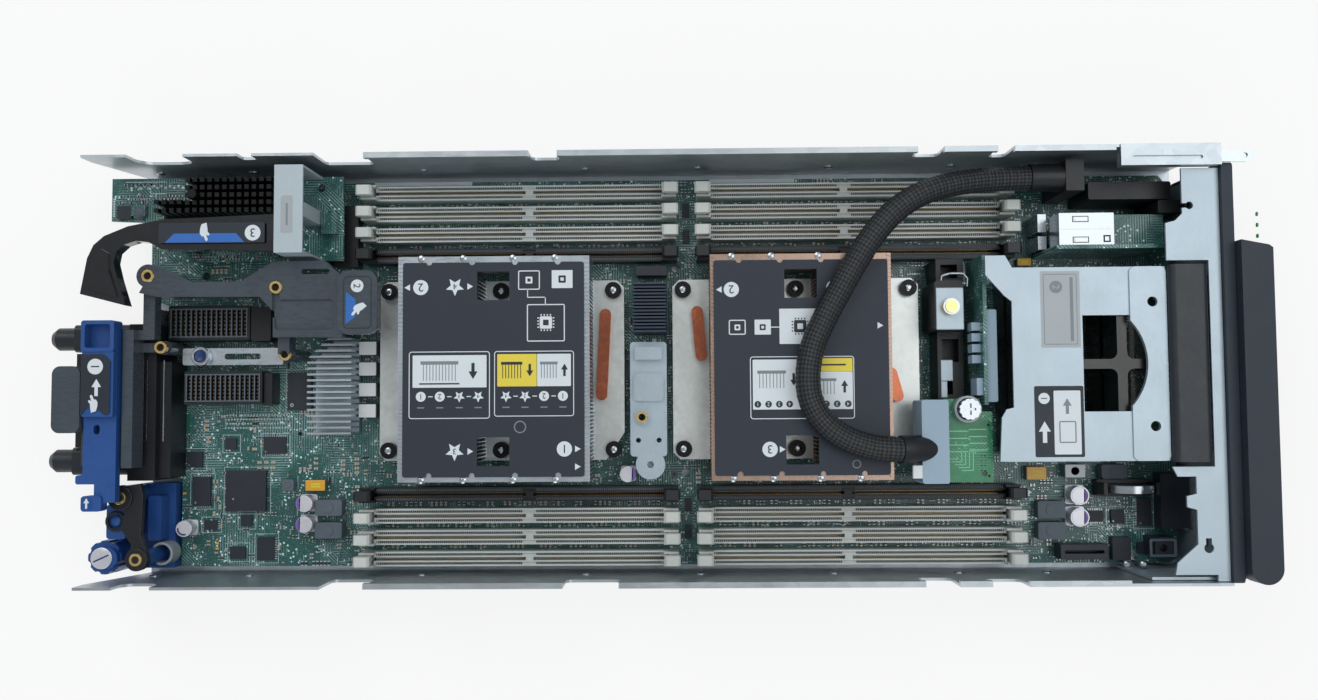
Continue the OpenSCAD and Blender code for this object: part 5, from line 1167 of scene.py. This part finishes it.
# small things on the network card
z = 23.6                                       # top of the card
Shape().box(-229.6, -223.2, 67.8, 73.4, z - 0.05, z + 2.5).piece("card_circuit", CHIP, "lan_card", bevel=0.2)
s = Shape()
s.lathe(-219.6, 70.6, [(2.9, z - 0.05), (2.9, z + 1.6), (2.3, z + 2.6), (1.1, z + 3.1), (0.3, z + 3.2)])
s.piece("card_coil", FERRITE, "lan_card", smooth=50)
s, t = Shape(), Shape()
for k in range(14):
    s.lathe(-224.4 + k * 1.9, 81.7 + (k % 2) * 0.8, [(0.62, z - 0.02), (0.62, z + 0.06), (0.3, z + 0.08)], 12)
for k in range(11):
    t.box(-232.4, -231.6, 69 + k * 0.75, 69.4 + k * 0.75, z - 0.02, z + 0.05)
t.box(-227, -209, 84.2, 84.5, z - 0.02, z + 0.05)
t.box(-216, -209, 79, 79.3, z - 0.02, z + 0.05)
card_rng = random.Random(5)
e, b = Shape(), Shape()
for count, x0, x1, rows in ((60, -229, -199, (75.2, 76.6, 78.0, 83.2)), (70, -196, -152, (49.6, 50.8, 52.0))):
    for _ in range(count):
        x, y = card_rng.uniform(x0, x1), card_rng.choice(rows) + card_rng.uniform(-0.1, 0.1)
        if x > -212 and y > 79:
            continue
        b.box(x - 0.5, x + 0.5, y - 0.35, y + 0.35, z - 0.02, z + 0.45)
        e.box(x - 0.75, x - 0.5, y - 0.38, y + 0.38, z - 0.02, z + 0.48)
        e.box(x + 0.5, x + 0.75, y - 0.38, y + 0.38, z - 0.02, z + 0.48)
s.piece("card_holes", TIN, "lan_card")
t.piece("card_print", WHITE, "lan_card")
b.piece("card_resistors", DARKPART, "lan_card")
e.piece("card_part_ends", TIN, "lan_card")

# ---------------------------------------------------------------- middle

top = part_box("centre_bracket")[1].z / MM
s = Shape()
s.ring(circle(2.5, 28), circle(1.5, 28), top - 0.2, top + 0.35, (1.1, -20.9))
s.piece("bracket_bushing", BRASS, smooth=35)

# ---------------------------------------------------------------- front end

# cage bracket: bright plate under the gold screw, cut-outs edged with black
Shape().box(126.8, 138.6, 15.4, 33.4, 33.9, 34.6).piece("bracket_plate", PALE, bevel=0.4)
s = Shape()
s.box(130.6, 135.9, -6.2, 3, 23.9, 24.5)
s.box(130.6, 133.4, -13.4, -6.2, 23.9, 24.5)
s.piece("bracket_plate_low", PALE, bevel=0.3)
s = Shape()
s.tube([(129.4, 36, 33), (129.4, 38.4, 34.6), (133, 39.4, 35), (138.6, 39.4, 35), (140.4, 37.4, 34.6),
        (140.4, 34, 33.4)], 0.55)
s.piece("bracket_wire", STEEL, smooth=60)
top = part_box("cage_screw")[1].z / MM
s = Shape()
s.ring(circle(3.5, 36), circle(2.3, 36), top - 0.9, top - 0.55, (XF - 126.3, 25.1))
s.piece("gold_screw_washer", STEEL, "cage_screw", smooth=35)

# cable board: tracks and holes, a cup round the thumb screw
z = 37.6
t, h = Shape(), Shape()
for k, y in enumerate((-27.6, -30.6, -33.4, -36.2)):
    t.box(128.9, 138.6, y - 0.2, y + 0.2, z - 0.02, z + 0.05)
    t.box(138.4, 138.8, y - 0.2, y + 0.9, z - 0.02, z + 0.05)
    t.box(138.4, 146.2, y + 0.5, y + 0.9, z - 0.02, z + 0.05)
for k in range(5):
    t.box(130 + k * 1.4, 134 + k * 1.6, -39.4 - k * 1.2, -39.1 - k * 1.2, z - 0.02, z + 0.05)
    if k:
        t.box(133.9 + k * 1.6, 134.2 + k * 1.6, -39.4 - k * 1.2, -35.6, z - 0.02, z + 0.05)
for x, y in ((147, -25), (147, -46.4), (129.9, -21)):
    h.lathe(x, y, [(0.55, z - 0.02), (0.55, z + 0.06)], 14)
for k in range(8):
    h.lathe(145.4 - (k % 2) * 1.5, -38 - (k // 2) * 2, [(0.3, z - 0.02), (0.3, z + 0.05)], 8)
TRACK = plain("pale_track", (120, 204, 158), 0.4, 0, 0.2, scale=900, amount=0.05, bump=0.05)
t.piece("cable_board_tracks", TRACK)
h.piece("cable_board_holes", ANODISED)
s = Shape()
s.ring(circle(5.6, 36), circle(4.7, 36), 37.5, 42, (XF - 121.3, -18.4))
s.piece("thumb_screw_cup", SILVERLABEL, smooth=35)

# white tag and heat-shrink sleeve at the end of the cable
s = Shape()
s.tube(line[-26:], CABLE_D / 2 + 0.5, 32)
s.tube(line[:26], CABLE_D / 2 + 0.5, 32)
s.piece("cable_end_sleeves", BLACK, smooth=60)
Shape().box(113.4, 117.3, -46.8, -41.4, 44.6, 46.9).piece("cable_tag", PAPER, bevel=0.2)

# coloured wires between the sleeve and the header
WIRES = {"red": (168, 44, 40), "blue": (44, 84, 160), "white": (206, 210, 210), "black": (24, 26, 30),
         "yellow": (206, 176, 56), "green": (42, 120, 80)}
x1 = XF - 77.6
for k, (key, rgb) in enumerate(WIRES.items()):
    w = Shape()
    for j in range(2):
        a = (k * 2 + j) / 12 * 2 * math.pi
        y0, z0 = 80 + 3.1 * math.cos(a), 35 + 3.1 * math.sin(a)
        w.tube([(x1 - 1.4, y0, z0), (x1 + 1.0, y0 + 0.3 * math.sin(a * 3), z0 + 0.6),
                (x1 + 3.2, 80 + 4.6 * math.cos(a), 35 + 3.6 * math.sin(a))], 0.55, 8)
    wire = plain("wire_" + key, rgb, 0.4, 0, 0.1, scale=1200, amount=0.06, bump=0.1)
    w.piece("wires_" + key, wire, smooth=60)

# springs, a seam and slots on the port's shell
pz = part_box("usb_port")[1].z / MM
s = Shape()
for y in (52.6, 61.4):
    s.box(184, 190, y - 0.9, y + 0.9, pz - 0.02, pz + 0.12)
    s.box(184.4, 184.8, y - 0.6, y + 0.6, pz + 0.05, pz + 0.3)
s.box(179, 200.4, 57, 57.25, pz - 0.02, pz + 0.06)
s.piece("port_springs", NICKEL, bevel=0.08)
s = Shape()
for y in (52.6, 61.4):
    s.ring(square(3.4, 1.3), square(3.1, 1.0), pz - 0.02, pz + 0.08, (187, y))
s.ring(square(1.5, 1.5), square(0.9, 0.9), pz - 0.02, pz + 0.08, (198, 53))
s.piece("port_slots", ANODISED)

# frame, stem and pins of the front corner parts
s = Shape()
s.ring(rounded(11.6, 7.8, 0.8), rounded(9.4, 5.6, 0.5), 20.9, 21.5, (225.3, -78.6))
s.piece("corner_switch_frame", FERRITE, bevel=0.15)
s = Shape()
s.lathe(225.3, -78.6, [(1.6, 20.8), (1.6, 21.4), (0.9, 21.7)], 20)
s.piece("corner_switch_stem", ANODISED, smooth=40)
s = Shape()
s.lathe(216.8, -85.6, [(2.2, 8), (2.2, 8.8), (0.9, 9), (0.9, 19.6), (1.5, 20), (1.5, 21.2), (0.8, 21.8)], 24)
s.lathe(212.4, -86.4, [(1.7, 8), (1.7, 14.6), (1.0, 15.2)], 20)
s.piece("corner_pins", STEEL, smooth=40)

# ---------------------------------------------------------------- outside

# status lights in front of the bezel, wire guard behind the air slots
fx = 258.4
s = Shape()
for y in (62, 57.4, 52.8):
    s.lathe(y, 44.6, [(0.9, fx - 0.3), (0.9, fx + 0.1), (0.5, fx + 0.25)], 16, "x")
GREEN = plain("green_light", (92, 176, 96), 0.3, 0, 0.4, scale=900, amount=0.05, bump=0.05)
s.piece("status_lights", GREEN, smooth=40)
s = Shape()
for y in range(-85, -45, 2):
    s.box(fx - 15.6, fx - 15.2, y, y + 0.5, 18, 42)
for z in range(18, 42, 2):
    s.box(fx - 15.4, fx - 15.0, -85, -46, z, z + 0.5)
s.piece("air_slot_mesh", ANODISED)
lo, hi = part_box("power_button")
s = Shape()
y, z, x = (lo.y + hi.y) / 2 / MM, (lo.z + hi.z) / 2 / MM, hi.x / MM
for k in range(19):
    turns = [math.radians(40 + j * 280 / 19) for j in (k, k + 1)]
    arc = [(r, a) for r, ends in ((1.7, turns), (1.3, turns[::-1])) for a in ends]
    s.prism([(y + r * math.sin(a), z + r * math.cos(a)) for r, a in arc], x - 0.05, x + 0.06, axis="x")
s.box(x - 0.05, x + 0.06, y - 0.2, y + 0.2, z + 0.6, z + 2.1)
s.piece("power_mark", GREYINK, "power_button")

# rivets on the inner faces of both walls
lo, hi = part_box("chassis_pan")
ylo, yhi = lo.y / MM, hi.y / MM
s = Shape()
for x in (-214, -172, -96, -24, 26, 84, 138, 176):
    for y, out in ((ylo, 1), (yhi, -1)):
        a, b = sorted((y + out * 0.4, y + out * 1.9))
        s.lathe(x, 18, [(1.5, a), (2.1, a + 0.3), (2.1, b - 0.3), (1.5, b)], 20, "y")
s.piece("wall_rivets", STEEL, smooth=40)

# heatsink screws: bright stems in the black caps
s = Shape()
for y in (-34.9, 34.9):
    for x in (-110.2, -60.8, -11.4, 19.2, 68.6, 118):
        s.lathe(x, y, [(1.5, 20.4), (1.5, 21.7), (1.1, 22.0), (0.4, 22.0)], 20)
s.piece("sink_screw_stems", STEEL, smooth=40)
